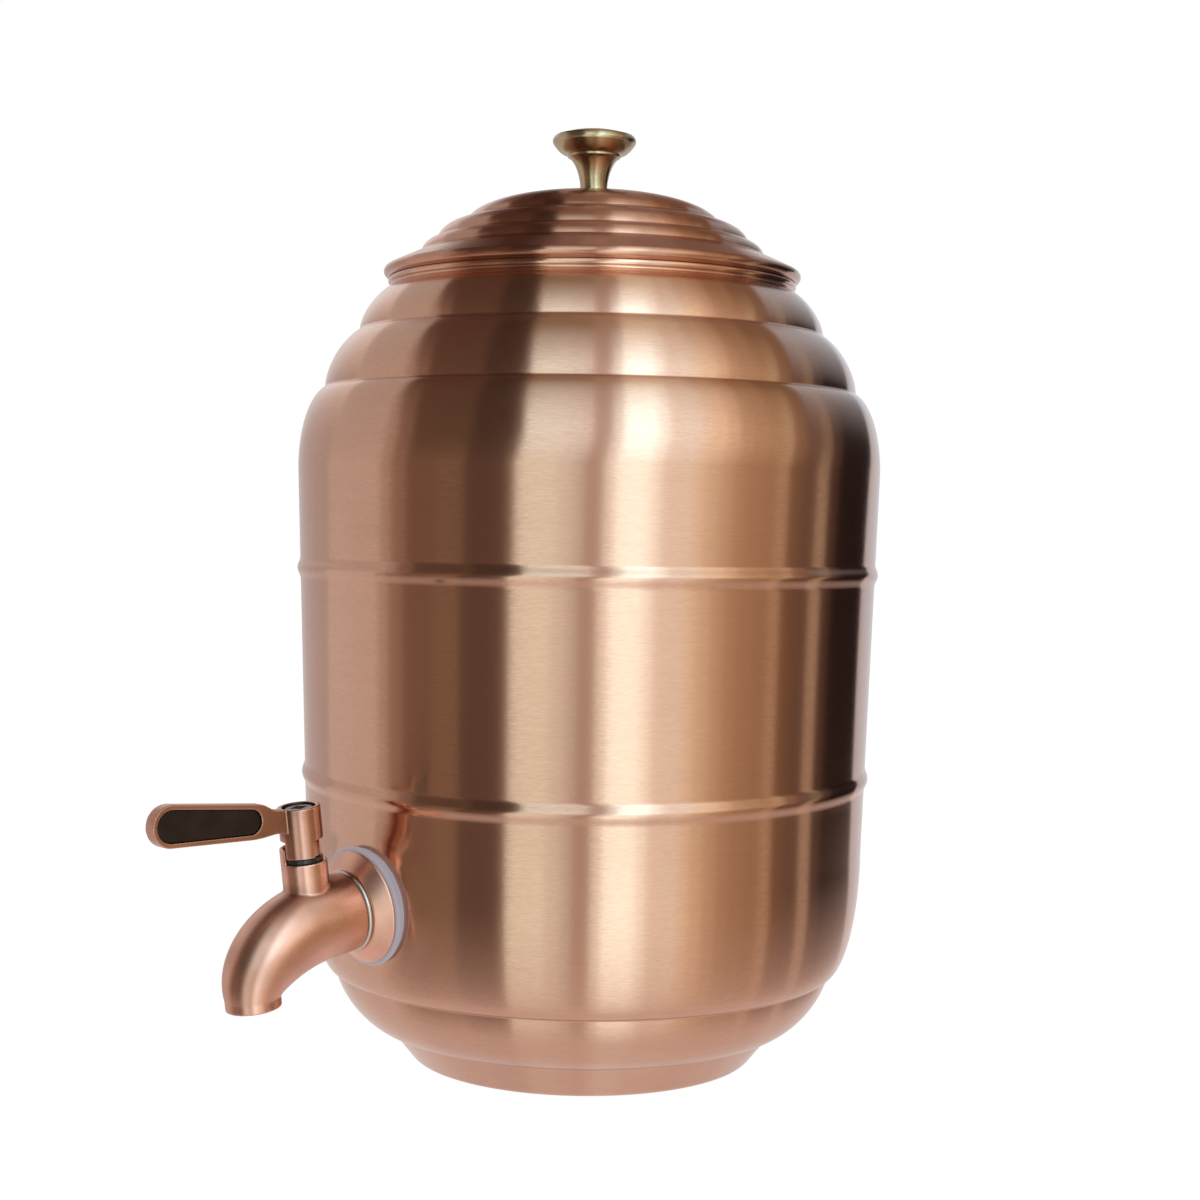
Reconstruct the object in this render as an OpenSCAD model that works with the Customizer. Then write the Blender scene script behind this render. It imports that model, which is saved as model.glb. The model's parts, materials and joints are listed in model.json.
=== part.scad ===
// Copper water dispenser: a spun vessel with a stepped lid and a lever tap.
// Millimetres. +Z is up, the origin is the middle of the foot, and the tap points along -Y.

/* [Vessel] */
// Thickness of the copper sheet
wall = 1; // [0.8:0.1:1.4]
// Radius of the flat foot, measured at its sharp corner
foot_r = 59.5; // [55:0.5:63]
// Length of the rounding on each side of that corner
foot_round = 2.4; // [1.6:0.1:4]
// Radius of the lower step of the base
base_step_r = 69; // [66:0.1:72]
// Height of the lower step of the base
base_step_z = 11.7; // [9:0.1:14]
// Radius of the upper step of the base
belly_step_r = 88; // [84:0.1:91]
// Height of the upper step of the base
belly_step_z = 32.5; // [28:0.1:36]
// Radius where the belly runs into the straight wall
belly_r = 98.5; // [96:0.1:101]
// Height where the belly runs into the straight wall
belly_z = 75; // [70:0.5:85]
// Radius at the top of the straight wall
shoulder_r = 102.8; // [100:0.1:108]
// Height at the top of the straight wall
shoulder_z = 209; // [195:0.5:220]

/* [Beads] */
// Height of the middle of the lower pressed bead
low_bead_z = 103.3; // [96:0.1:115]
// Height of the middle of the upper pressed bead
high_bead_z = 174.6; // [150:0.1:185]
// Height of one bead
bead_h = 6.4; // [5:0.1:9]
// How far a bead stands out of the wall
bead_proud = 1.1; // [0.6:0.1:1.4]

/* [Shoulder] */
// Radius of the lower shoulder notch
low_notch_r = 93.8; // [90:0.1:97]
// Height of the lower shoulder notch
low_notch_z = 236.7; // [231:0.1:242]
// Radius of the upper shoulder notch
high_notch_r = 82; // [79:0.1:86]
// Height of the upper shoulder notch
high_notch_z = 257; // [253:0.1:261]

/* [Mouth] */
// Inner radius of the mouth
mouth_r = 69; // [66:0.1:71]
// Radius of the rolled rim's own section
rim_roll_r = 1.6; // [1.2:0.1:2]
// Height of the middle of the rolled rim
rim_z = 274.6; // [270:0.1:280]

/* [Lid] */
// Thickness of the lid's sheet
lid_wall = 0.9; // [0.7:0.1:1.2]
// How far the lid reaches past the rim's outer edge
lid_overhang = 1.6; // [0.8:0.1:2.4]
// Radius of the rolled hem's own section
hem_r = 1.5; // [1.2:0.1:1.8]
// Gap between the hem and the rim that it sits on
lid_seat_gap = 0.3; // [0.2:0.05:0.5]
// Width of the plain brim, from the lid's edge to the outer notch
brim_w = 13; // [10:0.1:15]
// Width of the outer tier
lid_tier3_w = 5.6; // [4:0.1:8]
// Width of the middle tier
lid_tier2_w = 10.6; // [8:0.1:14]
// Rise of the plain brim, from the hem to the outer notch
brim_rise = 7.6; // [6:0.1:10]
// Rise of the outer tier
lid_tier3_rise = 4.8; // [3.5:0.1:6]
// Rise of the middle tier
lid_tier2_rise = 7; // [5:0.1:9]
// Rise of the crown, up to the knob's seat
crown_rise = 9.9; // [8:0.1:13]
// Radius of the flat that the knob sits on
knob_seat_r = 8; // [7:0.1:10]

/* [Locating ring] */
// Thickness of the ring under the lid
ring_t = 0.8; // [0.6:0.1:1.2]
// Gap between the ring and the mouth
ring_gap = 0.7; // [0.4:0.1:1.2]
// Depth that the ring reaches below the middle of the rim
ring_depth = 8; // [5:0.5:14]
// Gap of the soldered seam under the lid
solder_gap = 0.05; // [0.02:0.01:0.1]

/* [Knob] */
// Height of the knob
knob_h = 23.1; // [20:0.1:28]
// Radius of the knob's foot
knob_foot_r = 5.2; // [5:0.1:7]
// Radius of the knob's waist
knob_waist_r = 4.8; // [4.2:0.1:6]
// Height of the knob's waist
knob_waist_z = 2.3; // [1.5:0.1:4]
// Radius of the small step under the cap
knob_step_r = 9.4; // [8.6:0.1:10.5]
// Height of the small step under the cap
knob_step_z = 12.9; // [11.5:0.1:14]
// Thickness of the small step's edge
knob_step_t = 0.8; // [0.6:0.1:1.2]
// How far the small step stands out of the stem
knob_step_out = 0.6; // [0.4:0.1:0.8]
// Radius of the knob's cap
knob_cap_r = 14.8; // [12.5:0.1:18]
// Thickness of the cap's rounded edge
knob_edge_t = 4; // [3:0.1:5]
// Rise of the cap's crown above its rounded edge
knob_crown = 2.2; // [1:0.1:3]
// Radius of the knob's screw
knob_screw_r = 2.5; // [2:0.1:3]
// Length of screw inside the knob
knob_screw_grip = 10; // [7:0.5:13]
// Radius of the knob screw's head
knob_head_r = 4.5; // [4:0.1:5.5]
// Height of the knob screw's head
knob_head_h = 2.8; // [2:0.1:3.6]
// Radius of the knob's washer
knob_washer_r = 6; // [5:0.1:7]
// Thickness of the knob's washer
knob_washer_t = 1; // [0.6:0.1:1.6]

/* [Tap mounting] */
// Height of the tap hole on the vessel's wall
tap_z = 64.9; // [60:0.1:72]
// Angle that the tap points below level
tap_droop = 7.5; // [4:0.1:10]
// Radius of the threaded shank
shank_r = 8; // [7:0.1:9]
// Radius of the water way through the shank
way_r = 5; // [4.2:0.1:6]
// Gap round the shank in the holes that it passes
hole_gap = 0.2; // [0.1:0.05:0.4]
// Radius of the outer gasket
gasket_r = 19.7; // [17:0.1:22]
// Radius of the gasket's back, which lies on the wall
gasket_back_r = 14; // [12.5:0.1:17]
// Gap between the middle of the wall and the gasket's rim
gasket_stand = 0.6; // [0.4:0.1:1.2]
// Thickness of the gasket's rim
gasket_t = 2.6; // [2:0.1:4]
// Gap between a gasket and the curved wall
seal_gap = 0.05; // [0.02:0.01:0.1]
// Large radius of the conical rose
rose_r = 18.5; // [16:0.1:21]
// Small radius of the conical rose
rose_nose_r = 13.6; // [12.8:0.1:15]
// Thickness of the rose
rose_t = 4; // [3:0.1:6]
// Straight edge at the rose's large end
rose_edge = 0.8; // [0.4:0.1:1.5]
// Radius of the bright collar on the shank
collar_r = 13; // [12.2:0.1:14]
// Thickness of the bright collar on the shank
collar_t = 1.4; // [1:0.1:2.5]
// Length of the shank's end inside the spout
spigot_l = 6; // [4:0.1:7]

/* [Tap inside the vessel] */
// Distance of the inner washer's seat from the outer wall
inner_seat = 4.6; // [4.2:0.1:7]
// Radius of the inner gasket
inner_gasket_r = 16; // [14:0.1:18]
// Radius of the inner washer
inner_washer_r = 15; // [13:0.1:18]
// Thickness of the inner washer
inner_washer_t = 1.5; // [1:0.1:2.5]
// Size of the back nut across its flats
nut_af = 24; // [22:0.5:27]
// Thickness of the back nut
nut_t = 8; // [6:0.1:10]
// Thread that shows past the back nut
thread_past = 3; // [1:0.1:8]
// Gap in a threaded joint
thread_gap = 0.05; // [0.02:0.01:0.1]

/* [Spout] */
// Outer radius of the spout at the collar
spout_root_r = 12.8; // [12:0.1:12.9]
// Fullness of the spout in the middle of the elbow
spout_swell_r = 14.1; // [13.2:0.1:15]
// Outer radius of the outlet
outlet_r = 8.8; // [8.3:0.1:10]
// Radius of the outlet's bore
outlet_bore_r = 7; // [6:0.1:7.4]
// Depth of the outlet's bore
outlet_bore_l = 10; // [7:0.5:11]
// Length of straight barrel past the collar
barrel_l = 8.4; // [6.5:0.1:11]
// Reach of the elbow past the straight barrel
elbow_reach = 29.6; // [27:0.1:36]
// Drop of the elbow's bend from the barrel's axis
elbow_drop = 18.2; // [16:0.1:22]
// Length of the straight neck below the bend
outlet_neck = 3; // [2:0.1:6]

/* [Valve] */
// Distance of the valve's axis from the collar
valve_reach = 13.8; // [12:0.1:16]
// Radius of the valve chamber
chamber_r = 6; // [5.5:0.1:6.2]
// Depth of the chamber below the barrel's axis
chamber_depth = 8; // [7.4:0.1:8.6]
// Outer radius of the stem collar
stem_collar_r = 7.4; // [7.1:0.1:8]
// Height of the stem collar's top above the barrel's axis
stem_collar_h = 20.2; // [18:0.1:24]
// Running gap round the plug
running_gap = 0.05; // [0.03:0.01:0.08]
// Radius of the cross bore in the plug
port_r = 4; // [3.2:0.1:4.4]
// Radius of the stem
stem_r = 4; // [3.5:0.1:4.3]
// Size of the stem's drive across its two flats
stem_flats = 5.6; // [5:0.1:6]
// Thickness of an O-ring
o_ring_t = 1.5; // [1.2:0.1:1.7]
// Distance of the upper O-ring below the bush
o_ring_drop = 3; // [2:0.1:5]
// Length of the bush inside the stem collar
bush_l = 4.6; // [3:0.1:6]
// Thickness of the black flange on the bush
bush_flange_t = 1.5; // [1:0.1:2.2]
// Radius of the black flange on the bush
bush_flange_r = 6.1; // [5.9:0.05:6.15]

/* [Lever] */
// Radius of the lever's hub
hub_r = 6.85; // [6.5:0.05:7.4]
// Height of the lever's hub
hub_h = 16.3; // [14:0.1:19]
// Radius of the hub below its head, beside the stop tab
hub_core_r = 5.4; // [5.1:0.1:5.8]
// Height of the stop tab under the hub's head
tab_h = 5.6; // [4.5:0.1:7]
// Height of the stop segment on the stem collar
stop_h = 4.8; // [3.5:0.1:5.6]
// Gap between the stop segment and the turning parts
stop_gap = 0.15; // [0.1:0.05:0.25]
// Turn of the lever, from shut to open
lever_turn = 90; // [80:1:100]
// Angle of play between the tab and each stop
stop_play = 3; // [2:0.5:5]
// Radius of the counterbore in the hub's top
counterbore_r = 5.3; // [4.8:0.1:5.6]
// Depth of the counterbore in the hub's top
counterbore_l = 4.5; // [4:0.1:5.5]
// Thickness of the web under the counterbore
hub_web = 2.4; // [1.6:0.1:3.4]
// Angle that the lever rises from square to the stem
lever_rise = 10.5; // [4:0.5:14]
// Height of the lever's middle line above the hub's foot
lever_h = 11.5; // [10:0.1:13]
// Length of the lever from the stem's axis to its tip
lever_l = 55; // [46:0.1:64]
// Thickness of the lever
lever_t = 4.5; // [3.8:0.1:6]
// Half height of the paddle at its tip
paddle_tip_r = 6.6; // [5.8:0.1:7]
// Height of the paddle's upper edge above its middle line, at its root
paddle_root_r = 5.8; // [5.2:0.1:6.4]
// Depth of the paddle's lower edge below its middle line, at its root
heel_r = 5.2; // [4.8:0.1:5.8]
// Half height of the neck
neck_r = 3.7; // [3:0.1:4.2]
// Length from the stem's axis to the paddle's root
paddle_root_l = 17; // [15:0.1:19]
// Length from the stem's axis to the end of the plain neck
neck_l = 10; // [8.5:0.1:12]
// Width of the copper border round the inlay
inlay_border = 1.5; // [1:0.1:2]
// How far the recess reaches past the paddle's root
recess_back = 1; // [0:0.1:2]
// Depth of the recess for the inlay
recess_d = 1.2; // [0.8:0.1:1.8]
// Gap round the inlay in its recess
inlay_gap = 0.05; // [0.03:0.01:0.1]
// Depth of the inlay's face below the lever's face
inlay_sunk = 0.3; // [0.1:0.1:0.5]
// Radius of the lever's screw
lever_screw_r = 2; // [1.6:0.1:2.3]
// Depth of the screw hole in the stem
stem_hole_l = 7; // [5.5:0.1:8]
// Gap between the screw's end and the hole's bottom
screw_end_gap = 0.5; // [0.3:0.1:1]
// Radius of the lever screw's head
lever_head_r = 3.5; // [3:0.1:3.9]
// Height of the lever screw's head
lever_head_h = 2.2; // [1.8:0.1:2.6]
// Radius of the lever's washer
lever_washer_r = 4.4; // [4:0.1:4.7]
// Thickness of the lever's washer
lever_washer_t = 0.8; // [0.5:0.1:1.2]

/* [Screw recesses] */
// Width of a cross recess
cross_w = 1.1; // [0.8:0.1:1.3]
// Length of a cross recess
cross_l = 4.4; // [3.6:0.1:5]
// Depth of a cross recess
cross_d = 1.2; // [0.8:0.1:1.5]

/* [Hidden] */

$fn = 96;
copper = [0.72, 0.45, 0.32];
brass = [0.62, 0.53, 0.33];
steel = [0.75, 0.75, 0.76];
silicone = [0.58, 0.56, 0.61];
black = [0.06, 0.05, 0.05];
// Overlap of two shapes that are one piece
eps = 0.01;
// Overshoot of a cut past the piece that it cuts
over = 1;
// Share of a screw head's height that is domed
head_dome = 0.45;

// Curves of an outline: points run from p to q, p itself left out.
// A conic bends towards its corner c, more so with a larger weight w.
function conic(p, c, q, w, n) = [
    for (i = [1:n])
        let (t = i / n, a = (1 - t) * (1 - t), b = 2 * w * t * (1 - t), d = t * t)
            (a * p + b * c + d * q) / (a + b + d)
];
// A tier that swells outwards and then climbs, as at the base
function swell(p, q, back, lift, w, n) =
    conic(p, [q.x - back * (q.x - p.x), p.y + lift * (q.y - p.y)], q, w, n);
// A tier that climbs and then closes in, as at the shoulder and the lid
function close_in(p, q, lean, drop, w, n) =
    conic(p, [p.x - lean * (p.x - q.x), q.y - drop * (q.y - p.y)], q, w, n);
function arc(c, r, from, to, n) = [
    for (i = [0:n])
        let (a = from + (to - from) * i / n)
            c + r * [cos(a), sin(a)]
];
function unit(v) = v / norm(v);
function left_of(v) = unit([-v.y, v.x]);
function reversed(list) = [for (i = [len(list) - 1:-1:0]) list[i]];
// The same open outline, moved sideways to its left by the distance t
function inset(path, t) = [
    for (i = [0:len(path) - 1])
        let (
            last = len(path) - 1,
            a = left_of(i > 0 ? path[i] - path[i - 1] : path[1] - path[0]),
            b = i < last ? left_of(path[i + 1] - path[i]) : a
        )
            path[i] + t * (a + b) / (1 + a * b)
];

// Outline of the vessel
function wall_r(z) = belly_r + (shoulder_r - belly_r) * (z - belly_z) / (shoulder_z - belly_z);
function bead(z) = [
    for (i = [0:8])
        let (u = i / 4 - 1, h = z + u * bead_h / 2)
            [wall_r(h) + bead_proud * (1 + cos(180 * u)) / 2, h]
];
foot = [foot_r, 0];
base_step = [base_step_r, base_step_z];
belly_step = [belly_step_r, belly_step_z];
belly_top = [belly_r, belly_z];
shoulder = [shoulder_r, shoulder_z];
low_notch = [low_notch_r, low_notch_z];
high_notch = [high_notch_r, high_notch_z];
rim = [mouth_r + rim_roll_r, rim_z];
rim_start = -acos((wall - rim_roll_r) / rim_roll_r);
neck = rim + rim_roll_r * [cos(rim_start), sin(rim_start)];
foot_in = foot - [foot_round, 0];
foot_out = foot + foot_round * unit(base_step - foot);
base_path = concat([[0, 0], foot_in], conic(foot_in, foot, foot_out, 0.8, 4), [base_step]);
belly_path = concat(
    swell(base_step, belly_step, 0.2, 0.11, 0.62, 8),
    swell(belly_step, belly_top, 0, 0.02, 0.67, 12)
);
wall_path = concat(bead(low_bead_z), bead(high_bead_z), [shoulder]);
shoulder_path = concat(
    close_in(shoulder, low_notch, 0, 0.17, 0.8, 9),
    close_in(low_notch, high_notch, 0.04, 0.34, 0.72, 7),
    close_in(high_notch, neck, 0.04, 0.31, 0.62, 7)
);
vessel_path = concat(base_path, belly_path, wall_path, shoulder_path);
rim_path = arc(rim, rim_roll_r, rim_start, 180, 12);

// Outline of the lid, from its hem to the knob's seat
lid_r = mouth_r + 2 * rim_roll_r + lid_overhang;
lid_notch3_r = lid_r - brim_w;
lid_notch2_r = lid_notch3_r - lid_tier3_w;
lid_notch1_r = lid_notch2_r - lid_tier2_w;
hem_touch = hem_r + rim_roll_r + lid_seat_gap;
hem_x = lid_r - hem_r;
hem = [hem_x, rim_z + sqrt(hem_touch * hem_touch - (hem_x - rim.x) * (hem_x - rim.x))];
lid_notch3 = [lid_notch3_r, hem.y + brim_rise];
lid_notch2 = [lid_notch2_r, lid_notch3.y + lid_tier3_rise];
lid_notch1 = [lid_notch1_r, lid_notch2.y + lid_tier2_rise];
knob_seat = [knob_seat_r, lid_notch1.y + crown_rise];
knob_z = knob_seat.y;
brim_run = lid_notch3 - hem;
brim_slope = acos(hem_r / norm(brim_run)) - atan2(-brim_run.x, brim_run.y);
brim_normal = [sin(brim_slope), cos(brim_slope)];
brim_start = hem + hem_r * brim_normal;
hem_end = 90 - brim_slope;
hem_begin = hem_end + acos((hem_r - lid_wall) / hem_r);
lid_path = concat(
    [brim_start, lid_notch3],
    close_in(lid_notch3, lid_notch2, 0.11, 0.29, 0.5, 5),
    close_in(lid_notch2, lid_notch1, 0.11, 0.31, 0.7, 6),
    close_in(lid_notch1, knob_seat, 0.126, 0.04, 0.62, 10)
);
knob_hole_r = knob_screw_r + hole_gap;
// Height of the brim's underside at radius r
function under_brim(r) = brim_start.y - lid_wall / cos(brim_slope) + (brim_start.x - r) * tan(brim_slope);

// Places along the tap's axis, from the wall outwards, and up its stem, from that axis
belly_line = [for (p = concat([belly_step], belly_path, wall_path)) if (p.y >= belly_step_z) [p.y, p.x]];
tap_y = -lookup(tap_z, belly_line);
rose_s = gasket_stand + gasket_t;
collar_s = rose_s + rose_t;
spout_s = collar_s + collar_t;
barrel_end_s = spout_s + barrel_l;
outlet_s = barrel_end_s + elbow_reach;
outlet_z = -elbow_drop - outlet_neck;
valve_s = spout_s + valve_reach;
washer_s = -inner_seat - inner_washer_t;
nut_s = washer_s - nut_t;
shank_s = nut_s - thread_past;
bush_foot = stem_collar_h - bush_l;
hub_foot = stem_collar_h + bush_flange_t;
hub_head = hub_foot + tab_h;
hub_top = hub_foot + hub_h;
web_top = hub_top - counterbore_l;
web_foot = web_top - hub_web;
plug_r = chamber_r - running_gap;
drive_gap = running_gap;
stem_top = web_foot - drive_gap;

// Placing: a child's +Z runs up the stem, or outwards along the tap
module at_tap() { translate([0, tap_y, tap_z]) rotate([tap_droop, 0, 0]) children(); }
module along_tap() { at_tap() rotate([90, 0, 0]) children(); }
module at_stem() { at_tap() translate([0, -valve_s, 0]) children(); }
// A flat outline stood up along the tap, its x outwards and its y up
module beside_tap() { rotate([90, 0, -90]) children(); }

module disc(r, from, to) { translate([0, 0, from]) cylinder(r = r, h = to - from); }
module washer(r, hole, t) {
    difference() {
        cylinder(r = r, h = t);
        disc(hole, -t, 2 * t);
    }
}
module cross_recess() {
    for (turn = [0, 90])
        rotate([0, 0, turn]) cube([cross_l, cross_w, 2 * cross_d], center = true);
}
// A pan-head screw whose head stands on z = 0 and whose shank runs down
module pan_screw(r, length, head_r, head_h) {
    crown = head_h * head_dome;
    head_outline = concat(
        [[0, 0], [head_r, 0], [head_r, head_h - crown]],
        conic([head_r, head_h - crown], [head_r, head_h], [0, head_h], 0.7, 6)
    );
    difference() {
        union() {
            rotate_extrude() polygon(head_outline);
            disc(r, -length, eps);
        }
        translate([0, 0, head_h]) cross_recess();
    }
}
// The vessel's outline filled in, moved inwards by t
module vessel_solid(t) {
    path = inset(vessel_path, t);
    top = path[len(path) - 1];
    rotate_extrude($fn = 360) polygon(concat(path, [[0, top.y]]));
}

module body_shell() {
    inner = inset(vessel_path, wall);
    inner_neck = inner[len(inner) - 1];
    throat = [mouth_r, inner_neck.y + (inner_neck.x - mouth_r) / 2];
    color(copper)
        difference() {
            rotate_extrude() polygon(concat(vessel_path, rim_path, [throat], reversed(inner)));
            along_tap() disc(shank_r + hole_gap, -inner_seat, rose_s);
        }
}

module lid_shell() {
    under = inset(lid_path, lid_wall);
    hem_path = arc(hem, hem_r, hem_begin - 360, hem_end, 16);
    centre = [[knob_hole_r, knob_z], [knob_hole_r, knob_z - lid_wall]];
    under_sheet = [for (i = [len(under) - 1:-1:1]) under[i]];
    color(copper)
        rotate_extrude()
            polygon(concat(hem_path, [for (i = [1:len(lid_path) - 1]) lid_path[i]], centre, under_sheet));
}

module lid_locating_ring() {
    outer_r = mouth_r - ring_gap;
    inner_r = outer_r - ring_t;
    foot_z = rim_z - ring_depth;
    color(copper)
        rotate_extrude()
            polygon([
                [inner_r, foot_z], [outer_r, foot_z],
                [outer_r, under_brim(outer_r) - solder_gap], [inner_r, under_brim(inner_r) - solder_gap]
            ]);
}

module lid_knob() {
    edge_r = knob_edge_t / 2;
    edge = [knob_cap_r - edge_r, knob_h - knob_crown - edge_r];
    waist = [knob_waist_r, knob_waist_z];
    step_foot = [knob_step_r - knob_step_out, knob_step_z];
    step_edge = [knob_step_r, knob_step_z + knob_step_out / 2];
    under_cap = step_edge + [0, knob_step_t];
    edge_from = -40;
    edge_foot = edge + edge_r * [cos(edge_from), sin(edge_from)];
    edge_top = edge + [0, edge_r];
    outline = concat(
        [[0, 0], [knob_foot_r, 0], waist],
        conic(waist, [waist.x, (waist.y + 4 * step_foot.y) / 5], step_foot, 0.6, 8),
        [step_edge, under_cap],
        conic(under_cap, [(under_cap.x + edge_foot.x) / 2, under_cap.y], edge_foot, 1, 5),
        arc(edge, edge_r, edge_from, 90, 8),
        conic(edge_top, [edge.x / 2, knob_h], [0, knob_h], 0.8, 5)
    );
    color(brass)
        translate([0, 0, knob_z])
            difference() {
                rotate_extrude() polygon(outline);
                disc(knob_screw_r + thread_gap, -over, knob_screw_grip + over);
            }
}

module knob_washer() {
    color(steel)
        translate([0, 0, knob_z - lid_wall - knob_washer_t])
            washer(knob_washer_r, knob_hole_r, knob_washer_t);
}

module knob_screw() {
    grip = knob_washer_t + lid_wall + knob_screw_grip;
    color(steel)
        translate([0, 0, knob_z - lid_wall - knob_washer_t])
            mirror([0, 0, 1]) pan_screw(knob_screw_r, grip, knob_head_r, knob_head_h);
}

module outer_gasket() {
    hole_r = shank_r + hole_gap;
    outline = [
        [hole_r, -inner_seat], [gasket_back_r, -inner_seat], [gasket_back_r, gasket_stand],
        [gasket_r, gasket_stand], [gasket_r, rose_s], [hole_r, rose_s]
    ];
    color(silicone)
        difference() {
            along_tap() rotate_extrude() polygon(outline);
            vessel_solid(-seal_gap);
        }
}

module tap_rose() {
    outline = [
        [shank_r + hole_gap, rose_s], [rose_r, rose_s], [rose_r, rose_s + rose_edge],
        [rose_nose_r, collar_s], [shank_r + hole_gap, collar_s]
    ];
    color(copper) along_tap() rotate_extrude() polygon(outline);
}

module tap_shank() {
    outline = [
        [way_r, shank_s], [shank_r, shank_s], [shank_r, collar_s], [collar_r, collar_s],
        [collar_r, spout_s], [shank_r, spout_s], [shank_r, spout_s + spigot_l], [way_r, spout_s + spigot_l]
    ];
    color(steel) along_tap() rotate_extrude() polygon(outline);
}

module inner_gasket() {
    color(silicone)
        intersection() {
            along_tap()
                difference() {
                    disc(inner_gasket_r, -inner_seat, rose_s);
                    disc(shank_r + hole_gap, -2 * inner_seat, 2 * rose_s);
                }
            vessel_solid(wall + seal_gap);
        }
}

module inner_washer() {
    color(steel)
        along_tap() translate([0, 0, washer_s])
            washer(inner_washer_r, shank_r + hole_gap, inner_washer_t);
}

module back_nut() {
    color(steel)
        along_tap() translate([0, 0, nut_s])
            difference() {
                cylinder(r = nut_af / 2 / cos(30), h = nut_t, $fn = 6);
                disc(shank_r + thread_gap, -nut_t, 2 * nut_t);
            }
}

// The elbow: rings along a straight barrel, a quarter ellipse and a straight neck, each square to the path
elbow_sides = 32;
bend_steps = 14;
barrel_steps = 3;
neck_steps = 2;
elbow_path = concat(
    [for (i = [0:barrel_steps]) [spout_s + barrel_l * i / barrel_steps, 0, 0]],
    [
        for (i = [1:bend_steps])
            let (a = 90 * i / bend_steps)
                [barrel_end_s + elbow_reach * sin(a), -elbow_drop * (1 - cos(a)),
                 atan2(elbow_drop * sin(a), elbow_reach * cos(a))]
    ],
    [for (i = [1:neck_steps]) [outlet_s, -elbow_drop - outlet_neck * i / neck_steps, 90]]
);
bend_end = barrel_steps + bend_steps;
function elbow_r(i) =
    let (u = min(i / bend_end, 1))
        (1 - u) * (1 - u) * spout_root_r + 2 * u * (1 - u) * spout_swell_r + u * u * outlet_r;
module elbow() {
    rings = len(elbow_path);
    points = [
        for (i = [0:rings - 1], j = [0:elbow_sides - 1])
            let (p = elbow_path[i], r = elbow_r(i), a = 360 * j / elbow_sides)
                [r * cos(a), -p[0] - r * sin(a) * sin(p[2]), p[1] + r * sin(a) * cos(p[2])]
    ];
    function at(i, j) = i * elbow_sides + j % elbow_sides;
    sides = [
        for (i = [0:rings - 2], j = [0:elbow_sides - 1])
            each [[at(i, j), at(i + 1, j), at(i + 1, j + 1)], [at(i, j), at(i + 1, j + 1), at(i, j + 1)]]
    ];
    first = [for (j = [0:elbow_sides - 1]) j];
    last = [for (j = [elbow_sides - 1:-1:0]) at(rings - 1, j)];
    polyhedron(points = points, faces = concat(sides, [first, last]));
}
// The water way: straight along the barrel, then a quarter turn down into the outlet's bore
way_bend_r = -outlet_z - outlet_bore_l / 2;
module way_bend() {
    translate([0, -outlet_s, 0]) beside_tap() translate([-way_bend_r, -way_bend_r])
        rotate_extrude(angle = 90) translate([way_bend_r, 0]) circle(r = way_r);
}
module way_straight() {
    rotate([90, 0, 0]) disc(way_r, spout_s, outlet_s - way_bend_r);
}
// A ring sector between two angles, open over the rest of the turn
module ring_sector(inner_r, outer_r, from, to, foot_z, top_z) {
    translate([0, 0, foot_z])
        rotate([0, 0, from])
            rotate_extrude(angle = to - from)
                translate([inner_r, 0]) square([outer_r - inner_r, top_z - foot_z]);
}

module spout_body() {
    stop_inner_r = bush_flange_r + stop_gap;
    color(copper)
        difference() {
            union() {
                at_tap() elbow();
                at_stem() disc(stem_collar_r, 0, stem_collar_h);
                at_stem()
                    ring_sector(
                        stop_inner_r, stem_collar_r, stop_from, stop_to,
                        stem_collar_h - eps, stem_collar_h + stop_h
                    );
            }
            along_tap() disc(shank_r + thread_gap, spout_s - over, spout_s + spigot_l + thread_gap);
            at_tap() way_straight();
            at_tap() way_bend();
            at_tap() translate([0, -outlet_s, 0])
                disc(outlet_bore_r, outlet_z - over, outlet_z + outlet_bore_l);
            at_stem() disc(chamber_r, -chamber_depth, stem_collar_h + over);
        }
}

module stem_bush() {
    outline = [
        [stem_r + running_gap, bush_foot], [chamber_r - thread_gap, bush_foot],
        [chamber_r - thread_gap, stem_collar_h], [bush_flange_r, stem_collar_h],
        [bush_flange_r, hub_foot - running_gap], [stem_r + running_gap, hub_foot - running_gap]
    ];
    color(black) at_stem() rotate_extrude() polygon(outline);
}

// Heights of the two O-rings on the plug, above and below its cross bore
o_ring_inner_r = chamber_r - thread_gap / 2 - o_ring_t;
o_ring_z = [bush_foot - o_ring_drop, -chamber_depth + running_gap + o_ring_t];
o_ring_groove = o_ring_t + 2 * running_gap;
module drive(size_gap, from, to) {
    intersection() {
        disc(stem_r + size_gap, from, to);
        translate([-stem_r * 2, -stem_flats / 2 - size_gap, from])
            cube([stem_r * 4, stem_flats + 2 * size_gap, to - from]);
    }
}

module valve_core() {
    color(brass)
        at_stem()
            difference() {
                union() {
                    disc(plug_r, -chamber_depth + running_gap, bush_foot - running_gap);
                    disc(stem_r, bush_foot - running_gap - eps, hub_foot);
                    drive(0, hub_foot - eps, stem_top);
                }
                rotate([0, 90, 0]) cylinder(r = port_r, h = 4 * chamber_r, center = true);
                for (z = o_ring_z)
                    translate([0, 0, z - o_ring_groove / 2])
                        difference() {
                            cylinder(r = 2 * chamber_r, h = o_ring_groove);
                            disc(o_ring_inner_r - running_gap, -over, o_ring_groove + over);
                        }
                disc(lever_screw_r + thread_gap, stem_top - stem_hole_l, stem_top + over);
            }
}

module valve_o_rings() {
    color(black)
        at_stem()
            for (z = o_ring_z)
                translate([0, 0, z])
                    rotate_extrude() translate([o_ring_inner_r + o_ring_t / 2, 0]) circle(d = o_ring_t);
}

// The stop segment takes half the turn, and the tab the rest, less the lever's turn and its play
stop_from = 90;
stop_to = 270;
tab_from = stop_to - 360 + stop_play;
tab_to = stop_from - stop_play - lever_turn;

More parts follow.
